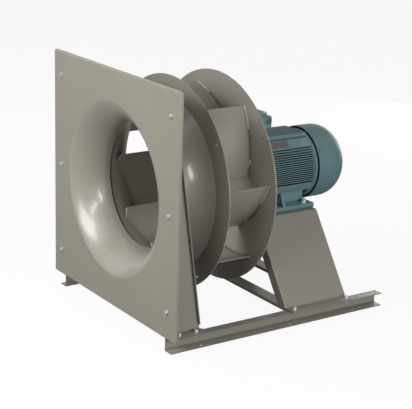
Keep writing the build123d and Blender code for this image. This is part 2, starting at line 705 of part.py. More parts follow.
def shroud_lines():
    """Inner line of the shroud from the eye to the rim plate, and the same line one sheet out."""
    corner = (SHROUD_BEND_R - SHROUD_SHEET, RIM_Y + SHROUD_SHEET)
    outer_r = EYE_R + SHROUD_SHEET
    inner = Bezier((EYE_R, EYE_Y), (EYE_R, RIM_Y - SHROUD_PULL[0]), corner)
    outer = Bezier((outer_r, EYE_Y), (outer_r, RIM_Y - SHROUD_PULL[1]), (SHROUD_BEND_R, RIM_Y))
    return inner, outer


def front_shroud():
    """Spun front ring with a flat outer plate."""
    inner, outer = shroud_lines()
    back = RIM_Y + SHROUD_SHEET
    outline = [
        inner,
        Polyline(inner @ 1, (IMPELLER_R, back), (IMPELLER_R, RIM_Y), outer @ 1),
        outer,
        Line(outer @ 0, inner @ 0),
    ]
    return balance_holes(revolve(make_face(outline), Axis.Y), (RIM_Y - 1, back + 1))


def balance_holes(shape, y):
    for turn in range(BALANCE_COUNT):
        x, z = polar(IMPELLER_R - BALANCE_HOLE_INSET, BALANCE_ANGLE + 360 / BALANCE_COUNT * turn)
        shape -= rod(BALANCE_HOLE_R, y, x, z)
    return shape


def back_plate():
    y = (PLATE_Y, PLATE_Y + PLATE_SHEET)
    through = inset(y, -1)
    plate = rod(IMPELLER_R, y) - rod(HUB_R + SEAT_CLEARANCE, through)
    for x, z in hub_bolt_places():
        plate -= rod(M8.thread_r + HOLE_CLEARANCE, through, x, z)
    return balance_holes(plate, through)


def blades():
    """Backward curved blades of one radius, cut to fit between the shroud and the back plate."""
    tip = polar(BLADE_TIP_R, 0)
    nose = polar(BLADE_NOSE_R, BLADE_NOSE_ANGLE)
    chord = math.hypot(nose[0] - tip[0], nose[1] - tip[1])
    out = ((tip[1] - nose[1]) / chord, (nose[0] - tip[0]) / chord)
    middle = [(a + b) / 2 + side * BLADE_CAMBER for a, b, side in zip(tip, nose, out)]
    mean = ThreePointArc((tip[0], 0, tip[1]), (middle[0], 0, middle[1]), (nose[0], 0, nose[1]))
    shift = Vector(out[0], 0, out[1]) * (BLADE_SHEET / 2)
    front = mean.moved(Location(shift))
    back = mean.moved(Location(-shift))
    face = make_face([front, Line(front @ 1, back @ 1), back, Line(back @ 0, front @ 0)])
    blank = extrude(face, PLATE_Y, dir=(0, 1, 0))
    blade = (blank & blade_space()).solids().sort_by(SortBy.VOLUME)[-1]
    return [about_axis(blade, BLADE_PHASE + 360 / BLADE_COUNT * index) for index in range(BLADE_COUNT)]


def blade_space():
    """Turned space between the shroud and the back plate, open towards the shaft."""
    inner, _ = shroud_lines()
    inside = BLADE_NOSE_R - BLADE_ROOM
    outline = [
        inner.trim(BLADE_ROOT_SHARE, 1),
        Polyline(
            inner @ 1, (IMPELLER_R, RIM_Y + SHROUD_SHEET), (IMPELLER_R, PLATE_Y), (inside, PLATE_Y),
            (inside, BLADE_NOSE_Y), (BLADE_NOSE_R, BLADE_NOSE_Y), inner @ BLADE_ROOT_SHARE,
        ),
    ]
    return revolve(make_face(outline), Axis.Y)


def hub_bolt_places():
    return [polar(HUB_BOLT_PITCH_R, 360 / HUB_BOLT_COUNT * index) for index in range(HUB_BOLT_COUNT)]


def bush_radius(y):
    return BUSH_FRONT_R + (BUSH_REAR_R - BUSH_FRONT_R) * (y - BUSH_Y[0]) / BUSH_LENGTH


def impeller_hub():
    """Flanged hub with a tapered bore for the bush."""
    plate_back = PLATE_Y + PLATE_SHEET
    flange_back = plate_back + HUB_FLANGE
    hub = spin([
        (bush_radius(HUB_Y[0]) + SEAT_CLEARANCE, HUB_Y[0]), (HUB_R, HUB_Y[0]), (HUB_R, plate_back),
        (HUB_FLANGE_R, plate_back), (HUB_FLANGE_R, flange_back), (HUB_R, flange_back),
        (HUB_R, HUB_Y[1]), (bush_radius(HUB_Y[1]) + SEAT_CLEARANCE, HUB_Y[1]),
    ])
    for x, z in hub_bolt_places():
        hub -= rod(M8.thread_r + THREAD_CLEARANCE, (plate_back - 1, flange_back + 1), x, z)
    return hub - bush_screw_holes()


def hub_bolts():
    bolt = hex_bolt(M8, PLATE_SHEET + HUB_FLANGE)
    return [aimed(bolt, (x, PLATE_Y, z), (0, -1, 0)) for x, z in hub_bolt_places()]


def bush_screw_holes():
    """Two set screws on the joint between the bush and the hub, side by side with the shaft."""
    y = (HUB_Y[0] - 1, BUSH_Y[0] + BUSH_SCREW_LENGTH + 1)
    radius = BUSH_SCREW_R + THREAD_CLEARANCE
    return rod(radius, y, BUSH_FRONT_R) + rod(radius, y, -BUSH_FRONT_R)


def bush_screws():
    flats, depth = BUSH_SOCKET
    screw = rod(BUSH_SCREW_R, (BUSH_Y[0], BUSH_Y[0] + BUSH_SCREW_LENGTH), BUSH_FRONT_R)
    socket = extrude(RegularPolygon(flats / 2, 6, major_radius=False), depth)
    screw -= aimed(socket, (BUSH_FRONT_R, BUSH_Y[0], 0), (0, 1, 0))
    return both_sides(screw)


def taper_bush():
    """Split bush with a straight bore and a tapered outside."""
    bore = SHAFT_R + SEAT_CLEARANCE
    bush = spin([(bore, BUSH_Y[0]), (BUSH_FRONT_R, BUSH_Y[0]), (BUSH_REAR_R, BUSH_Y[1]), (bore, BUSH_Y[1])])
    bush -= box(mirror_pair(BUSH_SLOT / 2), inset(BUSH_Y, -1), (-BUSH_FRONT_R - 1, 0))
    return bush - bush_screw_holes() - key_space(KEY_WIDTH / 2 + SEAT_CLEARANCE, SEAT_CLEARANCE)


def key_space(half_width, over):
    """The room of the shaft key, with its sides and top let out."""
    low = SHAFT_R - KEY_DEPTH
    return box(mirror_pair(half_width), KEY_Y, (low, low + KEY_HEIGHT + over))


# Motor, turning pieces

def motor_shaft():
    """Stepped shaft with a keyway, a threaded centre hole and a clip groove behind the fan."""
    front = SHAFT_FRONT_Y
    front_seat = FRONT_BEARING_Y + BEARING_WIDTH
    rear_seat = REAR_BEARING_Y + BEARING_WIDTH
    shaft = spin([
        (0, front), (SHAFT_R - SHAFT_CHAMFER, front), (SHAFT_R, front + SHAFT_CHAMFER),
        (SHAFT_R, SHOULDER_Y), (SEAT_R, SHOULDER_Y), (SEAT_R, front_seat),
        (CORE_SHAFT_R, front_seat), (CORE_SHAFT_R, REAR_BEARING_Y), (SEAT_R, REAR_BEARING_Y),
        (SEAT_R, rear_seat), (FAN_SEAT_R, rear_seat), (FAN_SEAT_R, SHAFT_REAR_Y), (0, SHAFT_REAR_Y),
    ])
    deep = front + CENTRE_HOLE_DEPTH
    centre_hole = spin([
        (0, front), (CENTRE_HOLE_R + CENTRE_HOLE_CHAMFER, front),
        (CENTRE_HOLE_R, front + CENTRE_HOLE_CHAMFER), (CENTRE_HOLE_R, deep), (0, deep + CENTRE_HOLE_R / 2),
    ])
    groove = ring(FAN_SEAT_R + 1, CLIP_GROOVE_R, (FAN_Y[1], FAN_Y[1] + CLIP_THICK + SEAT_CLEARANCE))
    return shaft - key_space(KEY_WIDTH / 2, 0) - centre_hole - groove


def shaft_key():
    return key_space(KEY_WIDTH / 2, 0)


def rotor_core():
    return ring(ROTOR_R, CORE_SHAFT_R + SEAT_CLEARANCE, STATOR_Y)


def rotor_end_rings():
    """Cast rings at both ends of the rotor core, each with a few small cooling lugs."""
    outer, inner, width = END_RING
    lug_outer, lug_inner, lug_reach, lug_thick = END_RING_LUG
    end_ring = ring(ROTOR_R - outer, ROTOR_R - inner, (0, width))
    lug_x = (ROTOR_R - lug_inner, ROTOR_R - lug_outer)
    lug = box(lug_x, (width - 1, width + lug_reach), mirror_pair(lug_thick / 2))
    for index in range(END_RING_LUGS):
        end_ring += about_axis(lug, 360 / END_RING_LUGS * index)
    front = Pos(0, STATOR_Y[0], 0) * mirror(end_ring, Plane.XZ)
    return [front, Pos(0, STATOR_Y[1], 0) * end_ring]


def bearing_inner_rings():
    inner = SEAT_R + SEAT_CLEARANCE
    outer = SEAT_R + BEARING_RING
    return [ring(outer, inner, (y, y + BEARING_WIDTH)) for y in (FRONT_BEARING_Y, REAR_BEARING_Y)]


def bearing_outer_rings():
    """Outer rings with their closed side shields, which end just clear of the inner rings."""
    lip = SEAT_R + BEARING_RING + MOVING_GAP
    race = BEARING_R - BEARING_RING
    outer = BEARING_R - SEAT_CLEARANCE
    end = BEARING_WIDTH
    sealed = spin([
        (lip, 0), (outer, 0), (outer, end), (lip, end), (lip, end - BEARING_SHIELD),
        (race, end - BEARING_SHIELD), (race, BEARING_SHIELD), (lip, BEARING_SHIELD),
    ])
    return [Pos(0, y, 0) * sealed for y in (FRONT_BEARING_Y, REAR_BEARING_Y)]


def cooling_fan():
    """Hub and disc with straight blades, which blows either way round."""
    fan = ring(FAN_HUB_R, FAN_SEAT_R + SEAT_CLEARANCE, FAN_Y)
    fan += ring(FAN_TIP_R, FAN_HUB_R - 1, (FAN_Y[0], FAN_Y[0] + FAN_DISC))
    blade_x = (FAN_HUB_R - 1, FAN_TIP_R - FAN_BLADE_INSET)
    blade = box(blade_x, (FAN_Y[0] + 1, FAN_Y[1] - FAN_BLADE_INSET), mirror_pair(FAN_BLADE_SHEET / 2))
    for index in range(FAN_BLADES):
        fan += about_axis(blade, 360 / FAN_BLADES * index)
    return fan


def fan_clip():
    """Open retaining ring behind the cooling fan, in its groove in the shaft."""
    y = (FAN_Y[1], FAN_Y[1] + CLIP_THICK)
    outer = FAN_SEAT_R + CLIP_PROUD
    clip = ring(outer, CLIP_GROOVE_R + SEAT_CLEARANCE, y)
    return clip - box(mirror_pair(CLIP_MOUTH / 2), inset(y, -1), (0, outer + 1))


# Motor, fixed pieces

def motor_frame():
    """Finned tube with an end collar at each end, two cast feet and the pad of the terminal box."""
    frame = rod(FRAME_R, FRAME_Y)
    for fin in side_fins() + top_fins():
        frame += fin
    haunch = box((HAUNCH_INNER_X, FOOT_HALF_WIDTH), FOOT_Y, HAUNCH_Z) & rod(FRAME_ENVELOPE_R + 1, FOOT_Y)
    for shape in (corner_pad(), haunch, motor_foot()):
        for pad in both_sides(shape):
            frame += pad
    frame += box(mirror_pair(NECK_PAD_WIDTH / 2), NECK_PAD_Y, (FRAME_R - PAD_ROOT, NECK_PAD_Z))
    frame += ring(FRAME_R + FRONT_COLLAR, FRAME_R - 1, (FRAME_Y[0], FRAME_Y[0] + COLLAR))
    frame += ring(FRAME_R + REAR_COLLAR, FRAME_R - 1, (FRAME_Y[1] - COLLAR, FRAME_Y[1]))
    frame -= rod(FRAME_BORE_R + SEAT_CLEARANCE, inset(FRAME_Y, -1))
    frame -= upright(CABLE_DUCT_R, 0, BOX_MIDDLE_Y, (FRAME_BORE_R / 2, NECK_PAD_Z + 1))
    for x, z in shield_screw_places():
        for y in FRAME_Y:
            frame -= rod(M8.thread_r + THREAD_CLEARANCE, (y - COLLAR, y + COLLAR), x, z)
    return frame


def side_fins():
    """Level cooling fins on both sides, cut off at the round outer line of the frame."""
    envelope = rod(FRAME_ENVELOPE_R, FIN_Y)
    fins = []
    for index in range(SIDE_FIN_COUNT):
        z = SIDE_FIN_LOW_Z + SIDE_FIN_PITCH * index
        root = math.sqrt(FRAME_R ** 2 - z ** 2) - FIN_ROOT
        fin = box((root, FRAME_ENVELOPE_R + 1), FIN_Y, (z - FIN_THICK / 2, z + FIN_THICK / 2))
        fins.extend(both_sides(fin & envelope))
    return fins


def top_fins():
    """Upright cooling fins on top, a little lower at the rear, left out under the terminal box."""
    front_height, rear_height = TOP_FIN_HEIGHT
    fall = (front_height - rear_height) / (FIN_Y[1] - FIN_Y[0])
    fins = []
    for index in range(-TOP_FIN_HALF_COUNT, TOP_FIN_HALF_COUNT + 1):
        x = TOP_FIN_PITCH * index
        root = math.sqrt(FRAME_R ** 2 - x ** 2) - FIN_ROOT
        start = NECK_PAD_Y[1] - 1 if abs(x) < NECK_PAD_WIDTH / 2 + FIN_THICK else FIN_Y[0]
        start_z = FRAME_R + front_height - (start - FIN_Y[0]) * fall
        outline = [(start, root), (FIN_Y[1], root), (FIN_Y[1], FRAME_R + rear_height), (start, start_z)]
        fins.append(profile_yz(outline, (x - FIN_THICK / 2, x + FIN_THICK / 2)))
    return fins


def corner_pad():
    """Smooth pad between the side fins and the top fins, which carries the rating plate."""
    pad = box((FRAME_R - PAD_ROOT, CORNER_PAD_R), FIN_Y, mirror_pair(CORNER_PAD_WIDTH / 2))
    return about_axis(pad, CORNER_PAD_ANGLE)


def motor_foot():
    """Foot plate on the stool, with its wall up to the haunch and one rib."""
    low = -SHAFT_HEIGHT
    top = low + FOOT_THICK
    wall_top = HAUNCH_Z[0] + 1
    wall_y = (FOOT_Y[0] + FOOT_WALL_END[0], FOOT_Y[1] - FOOT_WALL_END[1])
    rib_y = (FOOT_HOLE_Y[0] + FOOT_RIB[0], FOOT_HOLE_Y[0] + FOOT_RIB[1])
    foot = box((FOOT_INNER_X, FOOT_HALF_WIDTH), FOOT_Y, (low, top))
    foot = fillet(foot.edges().filter_by(Axis.Y).group_by(Axis.Z)[-1].sort_by(Axis.X)[-1], FOOT_EDGE_R)
    foot += box(FOOT_WALL_X, wall_y, (top - 1, wall_top))
    rib_root = FOOT_WALL_X[1] - 1
    rib_top, rib_low = [FOOT_HALF_WIDTH - inset_x for inset_x in FOOT_RIB_INSET]
    rib = [(rib_root, wall_top), (rib_top, wall_top), (rib_low, top - 1), (rib_root, top - 1)]
    foot += profile_xz(rib, rib_y)
    for y in FOOT_HOLE_Y:
        foot -= upright(FOOT_HOLE_R, FOOT_HOLE_X, y, (low - 1, top + 1))
    return foot


def foot_fasteners():
    """Bolts up through the stool and the motor's feet, nuts on top."""
    bolts, washers, nuts = [], [], []
    foot_top = -SHAFT_HEIGHT + FOOT_THICK
    under = -SHAFT_HEIGHT - STOOL_SHEET
    length = FOOT_THICK + STOOL_SHEET + 2 * M10.washer + M10.head * NUT_RATIO + SCREW_END
    for x in mirror_pair(FOOT_HOLE_X):
        for y in FOOT_HOLE_Y:
            washers.append(Pos(x, y, foot_top) * washer(M10))
            washers.append(aimed(washer(M10), (x, y, under), (0, 0, -1)))
            nuts.append(Pos(x, y, foot_top + M10.washer) * hex_nut(M10))
            bolts.append(aimed(hex_bolt(M10, length), (x, y, under - M10.washer), (0, 0, -1)))
    save("motor_foot_bolts", bolts)
    save("motor_foot_washers", washers)
    save("motor_foot_nuts", nuts)


def front_shield():
    """Drive end shield: rim on the frame, sloping face with ribs, bearing seat at the middle."""
    rim, back = FRONT_SHIELD_Y
    face = FRONT_BEARING_Y - FRONT_FACE
    seat_end = FRONT_BEARING_Y + BEARING_WIDTH
    boss = BEARING_R + SEAT_WALL
    edge = boss + SHIELD_BOSS_EDGE
    spigot = FRAME_BORE_R - SPIGOT_WALL
    seat_r = FRAME_BORE_R + SHIELD_STEP
    shield = spin([
        (SEAL_R, face), (edge, face), (edge + FRONT_BOSS_BEVEL[0], face + FRONT_BOSS_BEVEL[1]),
        (seat_r, rim), (FRONT_SHIELD_R, rim), (FRONT_SHIELD_R, back), (FRAME_BORE_R, back),
        (FRAME_BORE_R, back + SPIGOT), (spigot, back + SPIGOT), (spigot, back - SHIELD_WALL),
        (boss, rim), (boss, seat_end), (BEARING_R, seat_end), (BEARING_R, FRONT_BEARING_Y),
        (SEAL_R, FRONT_BEARING_Y),
    ])
    rib_x = (boss + SHIELD_RIB_ENDS[0], seat_r + SHIELD_RIB_ENDS[1])
    rib = profile_xy([
        (rib_x[0], face + SHIELD_RIB_TOP[0]), (rib_x[1], rim + SHIELD_RIB_TOP[1]),
        (rib_x[1], rim + SHIELD_RIB_ROOT[1]), (rib_x[0], face + SHIELD_RIB_ROOT[0]),
    ], SHIELD_RIB_HALF)
    for index in range(SHIELD_RIBS):
        shield += about_axis(rib, 360 / SHIELD_RIBS * (index + 0.5))
    for x, z in shield_screw_places():
        shield -= rod(M8.thread_r + HOLE_CLEARANCE, inset(FRONT_SHIELD_Y, -1), x, z)
    return shield


def shield_screw_places():
    angles = (CORNER_PAD_ANGLE, 180 - CORNER_PAD_ANGLE, 180 + CORNER_PAD_ANGLE, -CORNER_PAD_ANGLE)
    return [polar(SHIELD_SCREW_R, angle) for angle in angles]


def rear_shield():
    """Rear shield: rim on the frame, bearing seat, and four stepped lugs that carry the cowl."""
    rim, back = REAR_SHIELD_Y
    seat_end = REAR_BEARING_Y + BEARING_WIDTH
    spigot = FRAME_BORE_R - SPIGOT_WALL
    edge = BEARING_R + SEAT_WALL + SHIELD_BOSS_EDGE
    shield = spin([
        (BEARING_R, REAR_BEARING_Y), (spigot, REAR_BEARING_Y), (spigot, rim - SPIGOT),
        (FRAME_BORE_R, rim - SPIGOT), (FRAME_BORE_R, rim), (REAR_SHIELD_R, rim),
        (REAR_SHIELD_R, back), (FRAME_BORE_R + SHIELD_STEP, back),
        (edge + REAR_BOSS_BEVEL[0], back + REAR_BOSS_BEVEL[1]), (edge, seat_end + REAR_FACE),
        (SEAL_R, seat_end + REAR_FACE), (SEAL_R, seat_end), (BEARING_R, seat_end),
    ])
    width = mirror_pair(LUG_WIDTH / 2)
    end = back + LUG_LENGTH
    lug = box((COWL_R - LUG_DEPTH, COWL_R - LUG_RECESS), (rim + SPIGOT, end), width)
    lug += box((COWL_R - LUG_DEPTH, COWL_R), (COWL_Y[0] + LUG_HEAD_INSET, end), width)
    lug &= rod(COWL_R - COWL_SHEET - SEAT_CLEARANCE, (rim, end))
    lug -= cowl_screw_hole(THREAD_CLEARANCE)
    for angle in lug_angles():
        shield += about_axis(lug, angle)
    for x, z in shield_screw_places():
        shield -= rod(M8.thread_r + HOLE_CLEARANCE, inset(REAR_SHIELD_Y, -SPIGOT - 1), x, z)
    return shield


def lug_angles():
    return [LUG_ANGLE, 180 - LUG_ANGLE, 180 + LUG_ANGLE, -LUG_ANGLE]


def cowl_screw_hole(clearance):
    """The hole of one cowl screw, before it is turned to its lug."""
    hole = Cylinder(M5.thread_r + clearance, 2 * COWL_SCREW_LENGTH)
    return aimed(hole, (COWL_R, COWL_SCREW_Y, 0), (1, 0, 0))


def shield_screws():
    """Four screws through the rim of each shield into the end collars of the frame."""
    bite = COLLAR - 1
    front = hex_bolt(M8, FRONT_SHIELD_RIM + bite)
    rear = hex_bolt(M8, REAR_SHIELD_RIM + bite)
    screws = []
    for x, z in shield_screw_places():
        screws.append(aimed(front, (x, FRONT_SHIELD_Y[0], z), (0, -1, 0)))
        screws.append(aimed(rear, (x, REAR_SHIELD_Y[1], z), (0, 1, 0)))
    return screws


def stator_core():
    return ring(FRAME_BORE_R, STATOR_BORE_R, STATOR_Y)


def stator_windings():
    """Wound end turns at both ends of the core, rounded at their free rims."""
    inner = STATOR_BORE_R + WINDING_GAP[0]
    outer = FRAME_BORE_R - WINDING_GAP[1]
    rear = ring(outer, inner, (0, WINDING_REACH))
    rear = fillet(rear.edges().filter_by(GeomType.CIRCLE).group_by(Axis.Y)[-1], WINDING_ROUND)
    front = mirror(rear, Plane.XZ)
    return [Pos(0, STATOR_Y[0], 0) * front, Pos(0, STATOR_Y[1], 0) * rear]


def shaft_seal():
    """Lipped ring pressed into the shield, its flange on the front of the shield."""
    face = FRONT_BEARING_Y - FRONT_FACE
    inner = SEAT_R + MOVING_GAP
    neck = SEAL_R - SEAT_CLEARANCE
    flange = SEAL_R + SEAL_LIP
    return spin([
        (inner, face - SEAL_PROUD), (flange, face - SEAL_PROUD), (flange, face), (neck, face),
        (neck, face + SEAL_DEPTH), (inner, face + SEAL_DEPTH),
    ])


def corner_arc(radius, bend_y, centre_r):
    """Quarter round in the (radius, y) plane, from the cylinder of the cowl to its flat end."""
    x, y = polar(radius, 45)
    middle = (centre_r + x, bend_y + y)
    return ThreePointArc((centre_r + radius, bend_y), middle, (centre_r, bend_y + radius))


def fan_cowl():
    """Domed sheet cowl with rings of slots in its end."""
    front, rear = COWL_Y
    bend_y = rear - COWL_CORNER_R
    flat_r = COWL_R - COWL_CORNER_R
    outer = corner_arc(COWL_CORNER_R, bend_y, flat_r)
    inner = corner_arc(COWL_CORNER_R - COWL_SHEET, bend_y, flat_r)
    outline = [
        outer,
        Polyline(outer @ 1, (0, rear), (0, rear - COWL_SHEET), inner @ 1),
        inner,
        Polyline(inner @ 0, (COWL_R - COWL_SHEET, front), (COWL_R, front), outer @ 0),
    ]
    cowl = revolve(make_face(outline), Axis.Y)
    width, length = GRILLE_SLOT
    slots = []
    for radius, count in GRILLE_RINGS:
        slot = box((radius - length / 2, radius + length / 2), (bend_y, rear + 1), mirror_pair(width / 2))
        slots += [about_axis(slot, 360 / count * index) for index in range(count)]
    cowl -= slots
    return cowl - [about_axis(cowl_screw_hole(HOLE_CLEARANCE), angle) for angle in lug_angles()]


def cowl_screws():
    screw = aimed(hex_bolt(M5, COWL_SCREW_LENGTH), (COWL_R, COWL_SCREW_Y, 0), (1, 0, 0))
    return [about_axis(screw, angle) for angle in lug_angles()]


# Terminal box

def corner_box(x, y, z, radius):
    """A box with its upright corners rounded."""
    block = box(x, y, z)
    return fillet(block.edges().filter_by(Axis.Z), radius)


def terminal_box_body():
    """Open tray on a hollow neck, with a boss at the rear for two rear and one side cable entry."""
    x = mirror_pair(BOX_HALF_WIDTH)
    body = corner_box(x, BOX_Y, BOX_Z, BOX_CORNER_R)
    body += box(mirror_pair(NECK_HALF_WIDTH), NECK_Y, (NECK_PAD_Z, BOX_Z[0] + 1))
    boss = box(mirror_pair(ENTRY_HALF_WIDTH), ENTRY_Y, ENTRY_Z)
    body += fillet(boss.edges().filter_by(Axis.Y), ENTRY_CORNER_R)
    body -= corner_box(inset(x, BOX_WALL), inset(BOX_Y, BOX_WALL), (BOX_Z[0] + BOX_WALL, BOX_Z[1] + 1),
                       BOX_CORNER_R - BOX_WALL)
    body -= upright(CABLE_DUCT_R, 0, BOX_MIDDLE_Y, (NECK_PAD_Z - 1, BOX_Z[0] + BOX_WALL + 1))
    for entry_x in mirror_pair(ENTRY_X):
        body -= rod(ENTRY_HOLE_R, (BOX_Y[1] - BOX_WALL - 1, ENTRY_Y[1] + 1), entry_x, ENTRY_AXIS_Z)
    body -= aimed(Cylinder(ENTRY_HOLE_R, ENTRY_HALF_WIDTH, align=STANDING),
                  (ENTRY_X, SIDE_ENTRY_Y, ENTRY_AXIS_Z), (1, 0, 0))
    post_r, thread_depth = LID_POST
    for px, py in lid_screw_places():
        body += upright(post_r, px, py, (BOX_Z[0] + 1, BOX_Z[1]))
        body -= upright(M5.thread_r + THREAD_CLEARANCE, px, py, (BOX_Z[1] - thread_depth, BOX_Z[1] + 1))
    return body


def lid_screw_places():
    xs = mirror_pair(BOX_HALF_WIDTH - LID_SCREW_INSET)
    ys = inset(BOX_Y, LID_SCREW_INSET)
    return [(x, y) for x in xs for y in ys]


def terminal_box_gasket():
    x = mirror_pair(BOX_HALF_WIDTH - 1)
    y = inset(BOX_Y, 1)
    z = (BOX_Z[1], LID_Z[0])
    shape = corner_box(x, y, z, BOX_CORNER_R - 1)
    shape -= box(inset(x, GASKET_WIDTH), inset(y, GASKET_WIDTH), inset(z, -1))
    for px, py in lid_screw_places():
        shape -= upright(M5.thread_r + HOLE_CLEARANCE, px, py, inset(z, -1))
    return shape


def terminal_box_lid():
    """Cast lid with a raised middle, hollow below, its four screws let into the rim."""
    x = mirror_pair(BOX_HALF_WIDTH)
    low, high = LID_Z
    rim = corner_box(x, BOX_Y, LID_Z, BOX_CORNER_R)
    rim = fillet(rim.faces().sort_by(Axis.Z)[-1].edges(), LID_EDGE / 2)
    top = high + LID_PLATEAU
    plateau = [inset(side, LID_PLATEAU_INSET) for side in (x, BOX_Y)]
    pocket = [inset(side, LID_POCKET_INSET) for side in (x, BOX_Y)]
    middle = corner_box(*plateau, (low, top), BOX_CORNER_R)
    middle = chamfer(middle.faces().sort_by(Axis.Z)[-1].edges(), LID_EDGE)
    lid = rim + middle - corner_box(*pocket, (low - 1, top - BOX_WALL), BOX_CORNER_R - BOX_WALL)
    well_r, well_depth = LID_SCREW_WELL
    for px, py in lid_screw_places():
        lid -= upright(M5.thread_r + HOLE_CLEARANCE, px, py, inset(LID_Z, -1))
        lid -= upright(well_r, px, py, (high - well_depth, high + 1))
    return lid


def terminal_lid_screws():
    screw = hex_bolt(M5, LID_SCREW_LENGTH)
    return [Pos(x, y, LID_Z[1] - LID_SCREW_WELL[1]) * screw for x, y in lid_screw_places()]


def terminal_block():
    """Moulded block with one rib between its two rows of studs."""
    half_x, half_y, height = TERMINAL_BLOCK
    rib_half, rib_height = TERMINAL_RIB
    low = BOX_Z[0] + BOX_WALL
    y = (BOX_MIDDLE_Y - half_y, BOX_MIDDLE_Y + half_y)
    block = box(mirror_pair(half_x), y, (low, low + height))
    rib_y = (BOX_MIDDLE_Y - rib_half, BOX_MIDDLE_Y + rib_half)
    return block + box(mirror_pair(half_x), rib_y, (low + height - 1, low + height + rib_height))


def terminal_studs():
    low = BOX_Z[0] + BOX_WALL + TERMINAL_BLOCK[2]
    studs = []
    for x in (-TERMINAL_PITCH, 0, TERMINAL_PITCH):
        for y in (BOX_MIDDLE_Y - TERMINAL_ROW, BOX_MIDDLE_Y + TERMINAL_ROW):
            studs.append(upright(M5.thread_r, x, y, (low, low + TERMINAL_STUD)))
    return studs


def plug_stem():
    return Pos(0, 0, -PLUG_STEM) * Cylinder(ENTRY_HOLE_R - THREAD_CLEARANCE, PLUG_STEM + 1, align=STANDING)


def cable_entry_plugs():
    """Plugs screwed into the two rear cable entries, their hexagons proud of the boss."""
    flats, proud = PLUG_HEX
    plug = hex_prism(flats, proud) + plug_stem()
    return [aimed(plug, (x, ENTRY_Y[1], ENTRY_AXIS_Z), (0, 1, 0)) for x in mirror_pair(ENTRY_X)]


def side_entry_plug():
    """Flat round plug in the side cable entry."""
    radius, proud = SIDE_PLUG_HEAD
    plug = Cylinder(radius, proud, align=STANDING) + plug_stem()
    return aimed(plug, (ENTRY_HALF_WIDTH, SIDE_ENTRY_Y, ENTRY_AXIS_Z), (1, 0, 0))


def rating_plate():
    """Bare plate riveted on the corner pad."""
    length, width, thick = RATING_PLATE
    y = (RATING_PLATE_Y - length / 2, RATING_PLATE_Y + length / 2)
    plate = box((CORNER_PAD_R, CORNER_PAD_R + thick), y, mirror_pair(width / 2))
    for py, pz in plate_rivet_places():
        plate -= aimed(Cylinder(RIVET[0] + THREAD_CLEARANCE, 4 * thick), (CORNER_PAD_R, py, pz), (1, 0, 0))
    return about_axis(plate, CORNER_PAD_ANGLE)


def plate_rivet_places():
    length, width, _ = RATING_PLATE
    reach_y = length / 2 - RIVET_INSET
    reach_z = width / 2 - RIVET_INSET
    return [(RATING_PLATE_Y + side * reach_y, up * reach_z) for side in (-1, 1) for up in (-1, 1)]


def plate_rivets():
    shank_r, head_r, head_height = RIVET
    thick = RATING_PLATE[2]
    head = Cylinder(head_r, head_height, align=STANDING)
    rivet = Cylinder(shank_r, thick, align=STANDING) + Pos(0, 0, thick) * head
    placed = [aimed(rivet, (CORNER_PAD_R, py, pz), (1, 0, 0)) for py, pz in plate_rivet_places()]
    return [about_axis(one, CORNER_PAD_ANGLE) for one in placed]


def main():
    os.makedirs("parts", exist_ok=True)
    save("inlet_panel", inlet_panel())
    save("inlet_cone", inlet_cone())
    panel_fasteners()

    rail = base_rail()
    side_sheet = gusset()
    save("base_rail_right", rail)
    save("base_rail_left", mirrored(rail))
    save("gusset_right", side_sheet)
    save("gusset_left", mirrored(side_sheet))
    save("front_crossmember", crossmember(CROSS_FRONT_Y[0]))
    save("rear_crossmember", crossmember(CROSS_FRONT_Y[1]))
    save("motor_stool", motor_stool())
    rail_fasteners("gusset_foot", GUSSET_BOLT_Y, GUSSET_SHEET)
    rail_fasteners("stool_foot", STOOL_BOLT_Y, STOOL_SHEET)
    foot_fasteners()

    save("impeller_front_shroud", front_shroud())
    save("impeller_back_plate", back_plate())
    save("impeller_blades", blades())
    save("impeller_hub", impeller_hub())
    save("hub_bolts", hub_bolts())
    save("taper_bush", taper_bush())
    save("taper_bush_screws", bush_screws())

    save("motor_shaft", motor_shaft())
    save("shaft_key", shaft_key())
    save("rotor_core", rotor_core())
    save("rotor_end_rings", rotor_end_rings())
    save("bearing_inner_rings", bearing_inner_rings())
    save("bearing_outer_rings", bearing_outer_rings())
    save("cooling_fan", cooling_fan())
    save("cooling_fan_clip", fan_clip())

    save("motor_frame", motor_frame())
    save("drive_end_shield", front_shield())
    save("rear_end_shield", rear_shield())
    save("shield_screws", shield_screws())
    save("stator_core", stator_core())
    save("stator_windings", stator_windings())
    save("shaft_seal", shaft_seal())
    save("fan_cowl", fan_cowl())
    save("cowl_screws", cowl_screws())
    save("terminal_box_body", terminal_box_body())
    save("terminal_box_gasket", terminal_box_gasket())
    save("terminal_box_lid", terminal_box_lid())
    save("terminal_lid_screws", terminal_lid_screws())
    save("terminal_block", terminal_block())
    save("terminal_studs", terminal_studs())
    save("cable_entry_plug", cable_entry_plugs())
    save("side_entry_plug", side_entry_plug())
    save("rating_plate", rating_plate())
    save("rating_plate_rivets", plate_rivets())


main()
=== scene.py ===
import logging
import math
from dataclasses import dataclass, replace
from enum import Enum

import bmesh
import bpy
from mathutils import Matrix, Vector


